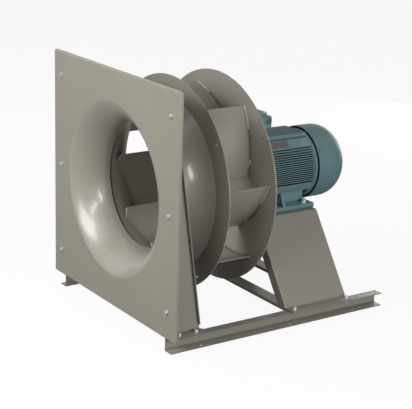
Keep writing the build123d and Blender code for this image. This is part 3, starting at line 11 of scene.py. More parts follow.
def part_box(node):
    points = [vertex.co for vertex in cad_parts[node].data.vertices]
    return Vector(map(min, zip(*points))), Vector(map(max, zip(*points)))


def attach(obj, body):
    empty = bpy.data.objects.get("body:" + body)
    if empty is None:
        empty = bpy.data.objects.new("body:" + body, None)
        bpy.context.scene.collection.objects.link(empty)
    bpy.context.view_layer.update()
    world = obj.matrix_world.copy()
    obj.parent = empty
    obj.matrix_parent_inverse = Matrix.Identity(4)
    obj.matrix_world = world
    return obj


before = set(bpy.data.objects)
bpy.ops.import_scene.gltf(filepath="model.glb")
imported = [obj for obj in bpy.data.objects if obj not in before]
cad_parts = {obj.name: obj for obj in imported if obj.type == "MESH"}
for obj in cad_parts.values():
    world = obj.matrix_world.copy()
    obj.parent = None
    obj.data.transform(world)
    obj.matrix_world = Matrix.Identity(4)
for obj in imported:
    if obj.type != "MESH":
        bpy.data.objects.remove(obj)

LOG = logging.getLogger("plug_fan")

# The two bodies of the record
FIXED = "frame"
TURNING = "rotor"

# Height of the shaft, a millimetre, front of the panel and rear end of the inlet ring, in metres
AXIS_Z = 0.446
MM = 0.001
PANEL_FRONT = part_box("inlet_panel")[0][1]
CONE_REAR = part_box("inlet_cone")[1][1]

# How far past the inlet ring the painted shadow of the running gap reaches, in metres
SHADOW_PAST_CONE = 0.0075

# Points of a new piece that lie closer than this are made one, in metres
MERGE_DISTANCE = 1e-6

# Values that node inputs start from
ORIGIN = (0.0, 0.0, 0.0)
MID_GREY = (0.3, 0.3, 0.3, 1.0)
WHITE = (1.0, 1.0, 1.0, 1.0)
RGBA_PARTS = 4

Colour = tuple[float, float, float]
Span = tuple[float, float]


# Node tree helpers

class Socket(Enum):
    """Kinds of socket that a node group takes and gives."""

    VALUE = "NodeSocketFloat"
    COLOUR = "NodeSocketColor"
    VECTOR = "NodeSocketVector"


class NodeSheet:
    """Adds nodes and links to one node tree."""

    # Sockets of a Mix node that mixes colours: share, first, second and result
    MIX_SHARE, MIX_FIRST, MIX_SECOND, MIX_RESULT = 0, 6, 7, 2

    def __init__(self, tree: bpy.types.NodeTree) -> None:
        """Keep the tree and start from an empty sheet.

        Args:
            tree: The node tree that the nodes go into.
        """
        self.tree = tree
        tree.nodes.clear()

    def add(self, kind: str, settings: dict | None = None, **inputs: object) -> bpy.types.Node:
        """Add one node.

        Args:
            kind: Blender's name of the node type.
            settings: Properties of the node itself.
            inputs: Values or sockets by input name, with spaces written as underscores.

        Returns:
            The new node.
        """
        node = self.tree.nodes.new(kind)
        for name, value in (settings or {}).items():
            setattr(node, name, value)
        for name, value in inputs.items():
            self.feed(node.inputs[name.replace("_", " ")], value)
        return node

    def feed(self, socket: bpy.types.NodeSocket, value: object) -> None:
        """Link a socket to an input, or set the input's own value.

        Args:
            socket: The input.
            value: Another node's output socket, or a plain value.
        """
        if isinstance(value, bpy.types.NodeSocket):
            self.tree.links.new(value, socket)
        else:
            socket.default_value = value

    def math(self, operation: str, first: object, second: object = 0.0) -> bpy.types.NodeSocket:
        """Add a Math node.

        Args:
            operation: Name of the operation.
            first: First value or socket.
            second: Second value or socket.

        Returns:
            The result socket.
        """
        node = self.add("ShaderNodeMath", {"operation": operation})
        self.feed(node.inputs[0], first)
        self.feed(node.inputs[1], second)
        return node.outputs[0]

    def vector_math(self, operation: str, first: object, second: object) -> bpy.types.Node:
        """Add a Vector Math node.

        Args:
            operation: Name of the operation.
            first: First vector or socket.
            second: Second vector or socket.

        Returns:
            The node, whose result is on its Vector or its Value socket.
        """
        node = self.add("ShaderNodeVectorMath", {"operation": operation})
        self.feed(node.inputs[0], first)
        self.feed(node.inputs[1], second)
        return node

    def blend(self, share: object, low: object, high: object, way: str = "MIX") -> bpy.types.NodeSocket:
        """Mix two colours.

        Args:
            share: Share of the second colour, 0 to 1.
            low: First colour or socket.
            high: Second colour or socket.
            way: Blend type.

        Returns:
            The mixed colour socket.
        """
        node = self.add("ShaderNodeMix", {"data_type": "RGBA", "blend_type": way})
        self.feed(node.inputs[self.MIX_SHARE], share)
        self.feed(node.inputs[self.MIX_FIRST], low)
        self.feed(node.inputs[self.MIX_SECOND], high)
        return node.outputs[self.MIX_RESULT]

    def remap(self, value: object, limits: Span, results: Span = (0.0, 1.0)) -> bpy.types.NodeSocket:
        """Rescale a value between two limits and clamp it.

        Args:
            value: Value or socket.
            limits: The two inputs that give the two results.
            results: What the first and the second limit give.

        Returns:
            The result socket.
        """
        node = self.add("ShaderNodeMapRange")
        self.feed(node.inputs[0], value)
        for index, number in enumerate((*limits, *results), start=1):
            node.inputs[index].default_value = number
        return node.outputs[0]


NewGroup = tuple[bpy.types.NodeTree, NodeSheet, bpy.types.Node]


def rgba(colour: Colour) -> tuple[float, float, float, float]:
    """Give a colour its alpha of 1."""
    return (*colour, 1.0)


def new_group(name: str, takes: dict[str, object], gives: dict[str, Socket]) -> NewGroup:
    """Start a shader node group.

    Args:
        name: Name of the group.
        takes: Input names with their default values: a number, a colour or a vector.
        gives: Output names with their kinds of socket.

    Returns:
        The group, its sheet and its input node.
    """
    tree = bpy.data.node_groups.new(name, "ShaderNodeTree")
    for label, value in takes.items():
        kind = Socket.VALUE
        if isinstance(value, tuple):
            kind = Socket.COLOUR if len(value) == RGBA_PARTS else Socket.VECTOR
        socket = tree.interface.new_socket(name=label, in_out="INPUT", socket_type=kind.value)
        socket.default_value = value
    for label, kind in gives.items():
        tree.interface.new_socket(name=label, in_out="OUTPUT", socket_type=kind.value)
    sheet = NodeSheet(tree)
    return tree, sheet, sheet.add("NodeGroupInput")


def new_material(name: str) -> tuple[bpy.types.Material, NodeSheet]:
    """Start a material.

    Args:
        name: Name of the material.

    Returns:
        The material and its empty sheet.
    """
    material = bpy.data.materials.new(name)
    material.use_nodes = True
    return material, NodeSheet(material.node_tree)


class Effects:
    """The shader node groups that several finishes share, each built once."""

    # Values of a noise texture that a share runs over
    NOISE_SPAN = (0.3, 0.7)

    # Fine speck of a sprayed film: its scale, and how far it moves the tone
    SPECK_SCALE = 1400.0
    SPECK_TONES = (0.97, 1.03)

    # Dust and painted sheen: upward tilt from bare to full, scale and noise span of its patches, and their
    # strength
    DUST_AND_SHEEN_TILT = (0.35, 1.0)
    DUST_SCALE = 35.0
    DUST_SPAN = (0.3, 0.75)
    DUST_PATCHES = (0.35, 1.0)

    # Waver of the rings left by the spinning roller
    RING_WAVER = 0.6

    # Open space round a point for the painted shade in gaps, from a closed gap to open sheet
    GAP_SPAN = (0.4, 0.88)

    # An inner wall looks at the shaft: highest product of its normal and its radius, in metres
    INNER_WALL = -0.02

    def __init__(self) -> None:
        """Build every group."""
        self.paint_film = self.build_paint_film()
        self.edge = self.build_edge()
        self.dust_and_sheen = self.build_dust_and_sheen()
        self.spin_marks = self.build_spin_marks()
        self.painted_gap_shade = self.build_painted_gap_shade()
        self.painted_gap_shadow = self.build_painted_gap_shadow()

    def build_paint_film(self) -> bpy.types.NodeTree:
        """Sprayed film: slow drift of tone, and the fine orange peel of the spray.

        Returns:
            The group, with a colour, a roughness and a height.
        """
        tree, sheet, entry = new_group(
            "sprayed film",
            {"Vector": ORIGIN, "Colour": MID_GREY, "Drift Colour": MID_GREY, "Drift Scale": 6.0,
             "Peel Scale": 400.0, "Peel Depth": 0.5, "Roughness": 0.4, "Roughness Drift": 0.06},
            {"Colour": Socket.COLOUR, "Roughness": Socket.VALUE, "Height": Socket.VALUE})
        take = entry.outputs
        drift = sheet.add("ShaderNodeTexNoise", Vector=take["Vector"], Scale=take["Drift Scale"], Detail=3.0)
        peel = sheet.add("ShaderNodeTexNoise", Vector=take["Vector"], Scale=take["Peel Scale"], Detail=2.0)
        speck = sheet.add("ShaderNodeTexNoise", Vector=take["Vector"], Scale=self.SPECK_SCALE, Detail=1.0)
        share = sheet.remap(drift.outputs[0], self.NOISE_SPAN)
        colour = sheet.blend(share, take["Colour"], take["Drift Colour"])
        fine = sheet.remap(speck.outputs[0], self.NOISE_SPAN, self.SPECK_TONES)
        colour = sheet.blend(1.0, colour, fine, "MULTIPLY")
        centred = sheet.math("SUBTRACT", drift.outputs[0], 0.5)
        swing = sheet.math("MULTIPLY", centred, take["Roughness Drift"])
        rough = sheet.math("ADD", take["Roughness"], sheet.math("MULTIPLY", swing, 2.0))
        height = sheet.math("MULTIPLY", peel.outputs[0], take["Peel Depth"])
        sheet.add("NodeGroupOutput", Colour=colour, Roughness=rough, Height=height)
        return tree

    def build_edge(self) -> bpy.types.NodeTree:
        """Softened edge: a rounded normal, and a mask of the edge band, where finishes paint wear and a
        highlight.

        Returns:
            The group, with a mask and a normal.
        """
        tree, sheet, entry = new_group(
            "soft edge", {"Radius": 0.001, "Gain": 2.0}, {"Mask": Socket.VALUE, "Normal": Socket.VECTOR})
        bevel = sheet.add("ShaderNodeBevel", {"samples": 4}, Radius=entry.outputs["Radius"])
        flat = sheet.add("ShaderNodeNewGeometry")
        match = sheet.vector_math("DOT_PRODUCT", bevel.outputs[0], flat.outputs["Normal"])
        turn = sheet.math("SUBTRACT", 1.0, match.outputs["Value"])
        mask = sheet.add("ShaderNodeClamp", Value=sheet.math("MULTIPLY", turn, entry.outputs["Gain"]))
        sheet.add("NodeGroupOutput", Mask=mask.outputs[0], Normal=bevel.outputs[0])
        return tree

    def build_dust_and_sheen(self) -> bpy.types.NodeTree:
        """Thin dust and a painted sheen of light on what faces up, broken up by noise.

        Returns:
            The group, with a colour and a mask.
        """
        tree, sheet, entry = new_group(
            "settled dust and painted sheen",
            {"Vector": ORIGIN, "Colour": MID_GREY, "Dust Colour": (0.4, 0.4, 0.38, 1.0), "Amount": 0.2},
            {"Colour": Socket.COLOUR, "Mask": Socket.VALUE})
        take = entry.outputs
        normal = sheet.add("ShaderNodeNewGeometry").outputs["Normal"]
        up = sheet.add("ShaderNodeSeparateXYZ", Vector=normal).outputs["Z"]
        lying = sheet.remap(up, self.DUST_AND_SHEEN_TILT)
        cloud = sheet.add("ShaderNodeTexNoise", Vector=take["Vector"], Scale=self.DUST_SCALE, Detail=5.0)
        patch = sheet.remap(cloud.outputs[0], self.DUST_SPAN, self.DUST_PATCHES)
        mask = sheet.math("MULTIPLY", sheet.math("MULTIPLY", lying, patch), take["Amount"])
        with_dust_and_sheen = sheet.blend(mask, take["Colour"], take["Dust Colour"])
        sheet.add("NodeGroupOutput", Colour=with_dust_and_sheen, Mask=mask)
        return tree

    def build_spin_marks(self) -> bpy.types.NodeTree:
        """Faint rings round the shaft axis, left in sheet by the spinning roller.

        Returns:
            The group, with a height.
        """
        tree, sheet, entry = new_group(
            "spinning marks", {"Vector": ORIGIN, "Pitch Scale": 60.0, "Depth": 0.3},
            {"Height": Socket.VALUE})
        take = entry.outputs
        centred = sheet.add("ShaderNodeMapping", {"vector_type": "POINT"}, Vector=take["Vector"],
                            Location=(0.0, 0.0, -AXIS_Z))
        rings = sheet.add("ShaderNodeTexWave", {"wave_type": "RINGS", "rings_direction": "Y"},
                          Vector=centred.outputs[0], Scale=take["Pitch Scale"],
                          Distortion=self.RING_WAVER, Detail=1.0)
        height = sheet.math("MULTIPLY", rings.outputs["Fac"], take["Depth"])
        sheet.add("NodeGroupOutput", Height=height)
        return tree

    def build_painted_gap_shade(self) -> bpy.types.NodeTree:
        """Painted shade: darker colour in narrow gaps and corners, where shade falls.

        Returns:
            The group, with a colour.
        """
        tree, sheet, entry = new_group(
            "painted shade in gaps",
            {"Colour": MID_GREY, "Gap Colour": (0.1, 0.1, 0.1, 1.0), "Reach": 0.014, "Amount": 0.0},
            {"Colour": Socket.COLOUR})
        take = entry.outputs
        near = sheet.add("ShaderNodeAmbientOcclusion", {"samples": 6, "only_local": False},
                         Distance=take["Reach"])
        hidden = sheet.remap(near.outputs["AO"], self.GAP_SPAN, (1.0, 0.0))
        share = sheet.math("MULTIPLY", hidden, take["Amount"])
        sheet.add("NodeGroupOutput", Colour=sheet.blend(share, take["Colour"], take["Gap Colour"]))
        return tree

    def build_painted_gap_shadow(self) -> bpy.types.NodeTree:
        """Painted shadow inside a short length of a round part, such as the lip of a running gap.

        Returns:
            The group, with a colour.
        """
        tree, sheet, entry = new_group(
            "painted shadow at the running gap",
            {"Vector": ORIGIN, "Normal": (0.0, 0.0, 1.0), "Colour": MID_GREY,
             "Shadow Colour": (0.02, 0.02, 0.02, 1.0), "End": 0.0, "Fade": 0.002, "Amount": 0.0},
            {"Colour": Socket.COLOUR})
        take = entry.outputs
        spoke = sheet.vector_math("SUBTRACT", take["Vector"], (0.0, 0.0, AXIS_Z))
        level = sheet.vector_math("MULTIPLY", spoke.outputs["Vector"], (1.0, 0.0, 1.0))
        outward = sheet.vector_math("DOT_PRODUCT", level.outputs["Vector"], take["Normal"])
        inside = sheet.math("LESS_THAN", outward.outputs["Value"], self.INNER_WALL)
        along = sheet.add("ShaderNodeSeparateXYZ", Vector=take["Vector"]).outputs["Y"]
        past = sheet.math("DIVIDE", sheet.math("SUBTRACT", along, take["End"]), take["Fade"])
        held = sheet.add("ShaderNodeClamp", Value=sheet.math("SUBTRACT", 1.0, past))
        share = sheet.math("MULTIPLY", sheet.math("MULTIPLY", held.outputs[0], inside), take["Amount"])
        sheet.add("NodeGroupOutput", Colour=sheet.blend(share, take["Colour"], take["Shadow Colour"]))
        return tree


# Finishes

class Texture(Enum):
    """What a painted surface looks like close up."""

    SPRAYED = "sprayed"
    SPUN = "spun"
    CAST = "cast"


@dataclass(frozen=True)
class Paint:
    """Sprayed paint on sheet or on a casting; lengths in metres."""

    name: str
    colour: Colour
    drift: Colour
    worn_and_lit_edge: Colour
    dust_and_sheen: Colour
    texture: Texture = Texture.SPRAYED
    roughness: float = 0.36
    gloss: float = 0.5
    coat: float = 0.25
    coat_roughness: float = 0.22
    peel_scale: float = 420.0
    peel_depth: float = 0.5
    bump: float = 0.06
    bump_distance: float = 0.001
    edge_radius: float = 0.0012
    edge_wear_and_highlight: float = 0.7
    dust_and_sheen_amount: float = 0.12
    dust_roughness: float = 0.35
    painted_shade_amount: float = 0.0
    painted_shade_reach: float = 0.014
    gap_shade: float = 0.15
    gap_shadow_end: float | None = None
    gap_shadow_amount: float = 0.96
    ring_depth: float = 0.05
    grit_scale: float = 1100.0

    def build(self, effects: Effects) -> bpy.types.Material:
        """Make the material.

        Args:
            effects: The shared node groups.

        Returns:
            The material.
        """
        material, sheet = new_material(self.name)
        where = sheet.add("ShaderNodeTexCoord")
        place = where.outputs["Object"]
        film = sheet.add("ShaderNodeGroup", {"node_tree": effects.paint_film}, Vector=place,
                         Colour=rgba(self.colour), Drift_Colour=rgba(self.drift),
                         Peel_Scale=self.peel_scale, Peel_Depth=self.peel_depth, Roughness=self.roughness)
        edge = sheet.add("ShaderNodeGroup", {"node_tree": effects.edge}, Radius=self.edge_radius)
        # Painted highlight on edges, together with real wear: the edge colour is lighter where the edge
        # turns
        wear_and_highlight = sheet.math("MULTIPLY", edge.outputs["Mask"], self.edge_wear_and_highlight)
        worn_and_lit = sheet.blend(wear_and_highlight, film.outputs["Colour"], rgba(self.worn_and_lit_edge))
        # Lighter colour on what faces up: real dust together with a painted sheen of light from above
        with_dust_and_sheen = sheet.add("ShaderNodeGroup", {"node_tree": effects.dust_and_sheen}, Vector=place, Colour=worn_and_lit,
                          Dust_Colour=rgba(self.dust_and_sheen), Amount=self.dust_and_sheen_amount)
        colour = with_dust_and_sheen.outputs["Colour"]
        # Painted shade: the colour darkens in gaps and corners, where shade falls
        if self.painted_shade_amount:
            painted_shade_colour = rgba(tuple(self.gap_shade * part for part in self.colour))
            gap = sheet.add("ShaderNodeGroup", {"node_tree": effects.painted_gap_shade}, Colour=colour,
                            Gap_Colour=painted_shade_colour, Reach=self.painted_shade_reach, Amount=self.painted_shade_amount)
            colour = gap.outputs["Colour"]
        # Painted shadow on the inner wall just past the inlet ring, in the running gap
        if self.gap_shadow_end is not None:
            gap_shadow = sheet.add("ShaderNodeGroup", {"node_tree": effects.painted_gap_shadow}, Vector=place,
                              Normal=where.outputs["Normal"], Colour=colour, End=self.gap_shadow_end,
                              Amount=self.gap_shadow_amount)
            colour = gap_shadow.outputs["Colour"]
        dulled = sheet.math("MULTIPLY", with_dust_and_sheen.outputs["Mask"], self.dust_roughness)
        rough = sheet.math("ADD", film.outputs["Roughness"], dulled)
        height = film.outputs["Height"]
        if self.texture is Texture.SPUN:
            marks = sheet.add("ShaderNodeGroup", {"node_tree": effects.spin_marks}, Vector=place,
                              Depth=self.ring_depth)
            height = sheet.math("ADD", height, marks.outputs["Height"])
        if self.texture is Texture.CAST:
            grit = sheet.add("ShaderNodeTexNoise", Vector=place, Scale=self.grit_scale, Detail=4.0)
            height = sheet.math("ADD", height, grit.outputs[0])
        bump = sheet.add("ShaderNodeBump", Strength=self.bump, Distance=self.bump_distance, Height=height,
                         Normal=edge.outputs["Normal"])
        shader = sheet.add("ShaderNodeBsdfPrincipled", Base_Color=colour, Roughness=rough,
                           Normal=bump.outputs[0], Specular_IOR_Level=self.gloss,
                           Coat_Weight=self.coat, Coat_Roughness=self.coat_roughness)
        sheet.add("ShaderNodeOutputMaterial", Surface=shader.outputs[0])
        return material


@dataclass(frozen=True)
class Metal:
    """Bare or plated metal with fine scratches; lengths in metres."""

    name: str
    colour: Colour
    dull: Colour
    roughness: float = 0.3
    scratch_scale: tuple[float, float, float] = (90.0, 900.0, 900.0)
    scratch_roughness: float = 0.18
    cloud_scale: float = 60.0
    cloud_span: Span = (0.35, 0.7)
    bump: float = 0.08
    bump_distance: float = 0.0005
    metallic: float = 1.0
    edge_radius: float = 0.0004
    edge_shine: float = 0.5

    def build(self, effects: Effects) -> bpy.types.Material:
        """Make the material.

        Args:
            effects: The shared node groups.

        Returns:
            The material.
        """
        material, sheet = new_material(self.name)
        place = sheet.add("ShaderNodeTexCoord").outputs["Object"]
        stretched = sheet.add("ShaderNodeMapping", Vector=place, Scale=self.scratch_scale)
        lines = sheet.add("ShaderNodeTexNoise", Vector=stretched.outputs[0], Scale=1.0, Detail=3.0)
        cloud = sheet.add("ShaderNodeTexNoise", Vector=place, Scale=self.cloud_scale, Detail=3.0)
        share = sheet.remap(cloud.outputs[0], self.cloud_span)
        colour = sheet.blend(share, rgba(self.colour), rgba(self.dull))
        edge = sheet.add("ShaderNodeGroup", {"node_tree": effects.edge}, Radius=self.edge_radius)
        shine = sheet.math("MULTIPLY", edge.outputs["Mask"], self.edge_shine)
        colour = sheet.blend(shine, colour, rgba(self.colour))
        scratched = sheet.math("MULTIPLY", lines.outputs[0], self.scratch_roughness)
        rough = sheet.math("ADD", scratched, self.roughness - self.scratch_roughness / 2)
        bump = sheet.add("ShaderNodeBump", Strength=self.bump, Distance=self.bump_distance,
                         Height=lines.outputs[0], Normal=edge.outputs["Normal"])
        shader = sheet.add("ShaderNodeBsdfPrincipled", Base_Color=colour, Roughness=rough,
                           Normal=bump.outputs[0], Metallic=self.metallic)
        sheet.add("ShaderNodeOutputMaterial", Surface=shader.outputs[0])
        return material


@dataclass(frozen=True)
class Moulding:
    """Rubber, moulded plastic or varnished wire: a plain coloured mass with a fine grain."""

    name: str
    colour: Colour
    pale: Colour
    roughness: float = 0.6
    drift_scale: float = 40.0
    grain_scale: float = 900.0
    bump: float = 0.1
    bump_distance: float = 0.0005

    def build(self, effects: Effects) -> bpy.types.Material:
        """Make the material.

        Args:
            effects: The shared node groups.

        Returns:
            The material.
        """
        material, sheet = new_material(self.name)
        place = sheet.add("ShaderNodeTexCoord").outputs["Object"]
        film = sheet.add("ShaderNodeGroup", {"node_tree": effects.paint_film}, Vector=place,
                         Colour=rgba(self.colour), Drift_Colour=rgba(self.pale),
                         Drift_Scale=self.drift_scale, Peel_Scale=self.grain_scale, Peel_Depth=1.0,
                         Roughness=self.roughness)
        bump = sheet.add("ShaderNodeBump", Strength=self.bump, Distance=self.bump_distance,
                         Height=film.outputs["Height"])
        shader = sheet.add("ShaderNodeBsdfPrincipled", Base_Color=film.outputs["Colour"],
                           Roughness=film.outputs["Roughness"], Normal=bump.outputs[0])
        sheet.add("ShaderNodeOutputMaterial", Surface=shader.outputs[0])
        return material


@dataclass(frozen=True)
class RuledPlate:
    """Bare metal plate with an empty ruled form; lengths in metres, widths as shares of a pitch."""

    name: str
    colour: Colour
    line: Colour
    line_pitch: float = 0.006
    line_width: float = 0.16
    column_pitch: float = 0.0325
    column_width: float = 0.03
    line_strength: float = 0.55
    cloud_scale: float = 220.0
    cloud_strength: float = 0.5
    roughness: float = 0.38
    smoother: float = 0.06
    rougher: float = 0.1
    metallic: float = 0.25
    bump: float = 0.15
    bump_distance: float = 0.0002
    edge_radius: float = 0.0004

    def build(self, effects: Effects) -> bpy.types.Material:
        """Make the material.

        Args:
            effects: The shared node groups.

        Returns:
            The material.
        """
        material, sheet = new_material(self.name)
        place = sheet.add("ShaderNodeTexCoord").outputs["Object"]
        axes = sheet.add("ShaderNodeSeparateXYZ", Vector=place)
        row = sheet.math("FRACT", sheet.math("MULTIPLY", axes.outputs["Z"], 1.0 / self.line_pitch))
        column = sheet.math("FRACT", sheet.math("MULTIPLY", axes.outputs["Y"], 1.0 / self.column_pitch))
        line = sheet.math("MAXIMUM", sheet.math("LESS_THAN", row, self.line_width),
                          sheet.math("LESS_THAN", column, self.column_width))
        cloud = sheet.add("ShaderNodeTexNoise", Vector=place, Scale=self.cloud_scale, Detail=4.0)
        share = sheet.remap(cloud.outputs[0], effects.NOISE_SPAN, (0.0, self.cloud_strength))
        base = sheet.blend(share, rgba(self.colour), rgba(self.line))
        drawn = sheet.math("MULTIPLY", line, self.line_strength)
        colour = sheet.blend(drawn, base, rgba(self.line))
        edge = sheet.add("ShaderNodeGroup", {"node_tree": effects.edge}, Radius=self.edge_radius)
        bump = sheet.add("ShaderNodeBump", Strength=self.bump, Distance=self.bump_distance, Height=line,
                         Normal=edge.outputs["Normal"])
        rough = sheet.remap(cloud.outputs[0], effects.NOISE_SPAN,
                            (self.roughness - self.smoother, self.roughness + self.rougher))
        shader = sheet.add("ShaderNodeBsdfPrincipled", Base_Color=colour, Roughness=rough,
                           Normal=bump.outputs[0], Metallic=self.metallic)
        sheet.add("ShaderNodeOutputMaterial", Surface=shader.outputs[0])
        return material


Finish = Paint | Metal | Moulding | RuledPlate

# Fan grey carries painted shade in gaps and corners, and a painted highlight on its edges
SHEET_GREY = Paint(
    "fan grey", colour=(0.336, 0.316, 0.264), drift=(0.320, 0.301, 0.251), worn_and_lit_edge=(0.46, 0.44, 0.385),
    dust_and_sheen=(0.38, 0.365, 0.32), roughness=0.34, painted_shade_amount=1.0, painted_shade_reach=0.010)
# Cone grey is a lighter copy of the fan grey, with light painted in
CONE_GREY_WITH_PAINTED_LIGHT = replace(
    SHEET_GREY, name="fan grey on the inlet cone with painted light", colour=(0.382, 0.361, 0.304),
    drift=(0.366, 0.346, 0.291), texture=Texture.SPUN, coat=1.0, coat_roughness=0.21, painted_shade_amount=0.0,
    peel_scale=220.0, peel_depth=1.4, bump=0.8)
# Shroud grey is a lighter copy of the fan grey with light painted in, and a painted shadow at the running
# gap
SHROUD_GREY_WITH_PAINTED_LIGHT = replace(
    SHEET_GREY, name="fan grey on the shroud with painted light and shadow", colour=(0.360, 0.339, 0.284),
    drift=(0.344, 0.324, 0.271), texture=Texture.SPUN, roughness=0.32, coat=0.8, coat_roughness=0.19,
    painted_shade_amount=0.0, peel_scale=220.0, peel_depth=1.2, bump=0.8, gap_shadow_end=CONE_REAR + SHADOW_PAST_CONE)
# Weld grey is a lighter copy of the fan grey, with glints painted in
WELD_GREY_WITH_PAINTED_GLINT = Paint(
    "fan grey on weld with painted glint", colour=(0.50, 0.475, 0.41), drift=(0.42, 0.395, 0.335), worn_and_lit_edge=(0.56, 0.535, 0.48),
    dust_and_sheen=(0.44, 0.42, 0.37), roughness=0.22, coat=1.0, coat_roughness=0.08, bump=0.03,
    edge_radius=0.0004)
# Motor green carries a strong painted sheen on what faces up, painted shade in the fin gaps and a painted
# highlight on its edges
MOTOR_GREEN = Paint(
    "motor green", colour=(0.160, 0.290, 0.310), drift=(0.147, 0.270, 0.289), worn_and_lit_edge=(0.31, 0.47, 0.485),
    dust_and_sheen=(0.42, 0.57, 0.575), texture=Texture.CAST, roughness=0.42, peel_scale=260.0, bump=0.10,
    dust_and_sheen_amount=0.75, painted_shade_amount=0.85, painted_shade_reach=0.012)
# Motor green sheet carries a painted sheen on what faces up
COWL_GREEN = Paint(
    "motor green sheet", colour=(0.142, 0.261, 0.280), drift=(0.133, 0.247, 0.265),
    worn_and_lit_edge=(0.23, 0.35, 0.36), dust_and_sheen=(0.40, 0.49, 0.48), roughness=0.42, coat=0.08, dust_and_sheen_amount=0.40)
ZINC = Metal("zinc plate", colour=(0.95, 0.94, 0.91), dull=(0.80, 0.79, 0.76), roughness=0.24, metallic=0.72)
STEEL = Metal("turned steel", colour=(0.56, 0.56, 0.57), dull=(0.40, 0.39, 0.38), roughness=0.26,
              scratch_scale=(700.0, 60.0, 700.0))
BRASS = Metal("brass", colour=(0.72, 0.53, 0.25), dull=(0.55, 0.40, 0.20))
CAST_ALUMINIUM = Metal("cast aluminium", colour=(0.60, 0.60, 0.61), dull=(0.48, 0.48, 0.49), roughness=0.45,
                       scratch_scale=(500.0, 500.0, 500.0))
CAST_IRON = Metal("grey iron", colour=(0.20, 0.20, 0.205), dull=(0.12, 0.12, 0.12), roughness=0.5,
                  scratch_scale=(600.0, 600.0, 600.0), bump=0.2)
RUBBER = Moulding("black rubber", colour=(0.022, 0.022, 0.024), pale=(0.035, 0.035, 0.037), roughness=0.7)
PLUG_GREY = Moulding("grey plug moulding", colour=(0.10, 0.10, 0.105), pale=(0.13, 0.13, 0.135),
                     roughness=0.45)
PLASTIC = Moulding("black moulding", colour=(0.03, 0.03, 0.032), pale=(0.042, 0.042, 0.044), roughness=0.5)
WINDING = Moulding("varnished winding", colour=(0.33, 0.13, 0.05), pale=(0.22, 0.08, 0.035),
                   roughness=0.35, grain_scale=500.0, bump=0.6)
BARE_PLATE = RuledPlate("bare rating plate", colour=(0.30, 0.295, 0.30), line=(0.10, 0.085, 0.09))


class Finishes:
    """All materials of the fan, made once and handed out by finish."""

    def __init__(self) -> None:
        """Build the shared groups and start with no materials."""
        self.effects = Effects()
        self.made: dict[str, bpy.types.Material] = {}

    def get(self, finish: Finish) -> bpy.types.Material:
        """Give the material of a finish.

        Args:
            finish: The finish.

        Returns:
            Its material.
        """
        if finish.name not in self.made:
            self.made[finish.name] = finish.build(self.effects)
        return self.made[finish.name]

    def coat_nodes(self, finish: Finish, *nodes: str) -> None:
        """Give CAD nodes a finish.

        Args:
            finish: The finish.
            nodes: Names of the CAD nodes.
        """
        material = self.get(finish)
        for name in nodes:
            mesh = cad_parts[name].data
            mesh.materials.clear()
            mesh.materials.append(material)


# Piece helpers

def finish_piece(mesh: bmesh.types.BMesh, name: str, body: str,
                 material: bpy.types.Material) -> bpy.types.Object:
    """Turn a bmesh into a piece that rides on a body.

    Args:
        mesh: The shape, in place.
        name: Name of the piece.
        body: Body that it rides on.
        material: Its material.

    Returns:
        The new object.
    """
    bmesh.ops.remove_doubles(mesh, verts=mesh.verts, dist=MERGE_DISTANCE)
    bmesh.ops.recalc_face_normals(mesh, faces=mesh.faces)
    data = bpy.data.meshes.new(name)
    mesh.to_mesh(data)
    mesh.free()
    for polygon in data.polygons:
        polygon.use_smooth = True
    data.materials.append(material)
    piece = bpy.data.objects.new(name, data)
    bpy.context.scene.collection.objects.link(piece)
    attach(piece, body)
    return piece


def fan_place(x: float, y: float, z: float) -> Vector:
    """Place of a point given in millimetres about the shaft, with y = 0 on the panel front."""
    return Vector((x * MM, PANEL_FRONT + y * MM, AXIS_Z + z * MM))


def about_shaft(degrees: float) -> Matrix:
    """Turn about the shaft axis, counter-clockwise seen from the inlet."""
    centre = Matrix.Translation((0.0, 0.0, AXIS_Z))
    return centre @ Matrix.Rotation(math.radians(-degrees), 4, "Y") @ centre.inverted()


@dataclass(frozen=True)
class WeldStyle:
    """Fillet weld of overlapping ripples, in millimetres; swell is the share by which they vary."""

    leg: float
    length: float
    pitch: float = 2.3
    swell: float = 0.07
    swell_step: float = 2.1

    def lay(self, mesh: bmesh.types.BMesh, points: list[Vector], way: Vector) -> None:
        """Lay one ripple at each point.

        Args:
            mesh: The mesh that takes the ripples.
            points: Places along the joint, one pitch apart.
            way: Direction square to the joint that the ripples are round about.
        """
        for index, point in enumerate(points):
            ahead = points[min(index + 1, len(points) - 1)] - points[max(index - 1, 0)]
            along = ahead.normalized()
            across = way.cross(along).normalized()
            turned = Matrix((across, along, way)).transposed().to_4x4()
            swell = 1.0 + self.swell * math.sin(index * self.swell_step)
            size = Matrix.Diagonal((self.leg * MM * swell, self.length * MM, self.leg * MM * swell, 1.0))
            bmesh.ops.create_uvsphere(mesh, u_segments=8, v_segments=6, radius=1.0,
                                      matrix=Matrix.Translation(point) @ turned @ size)


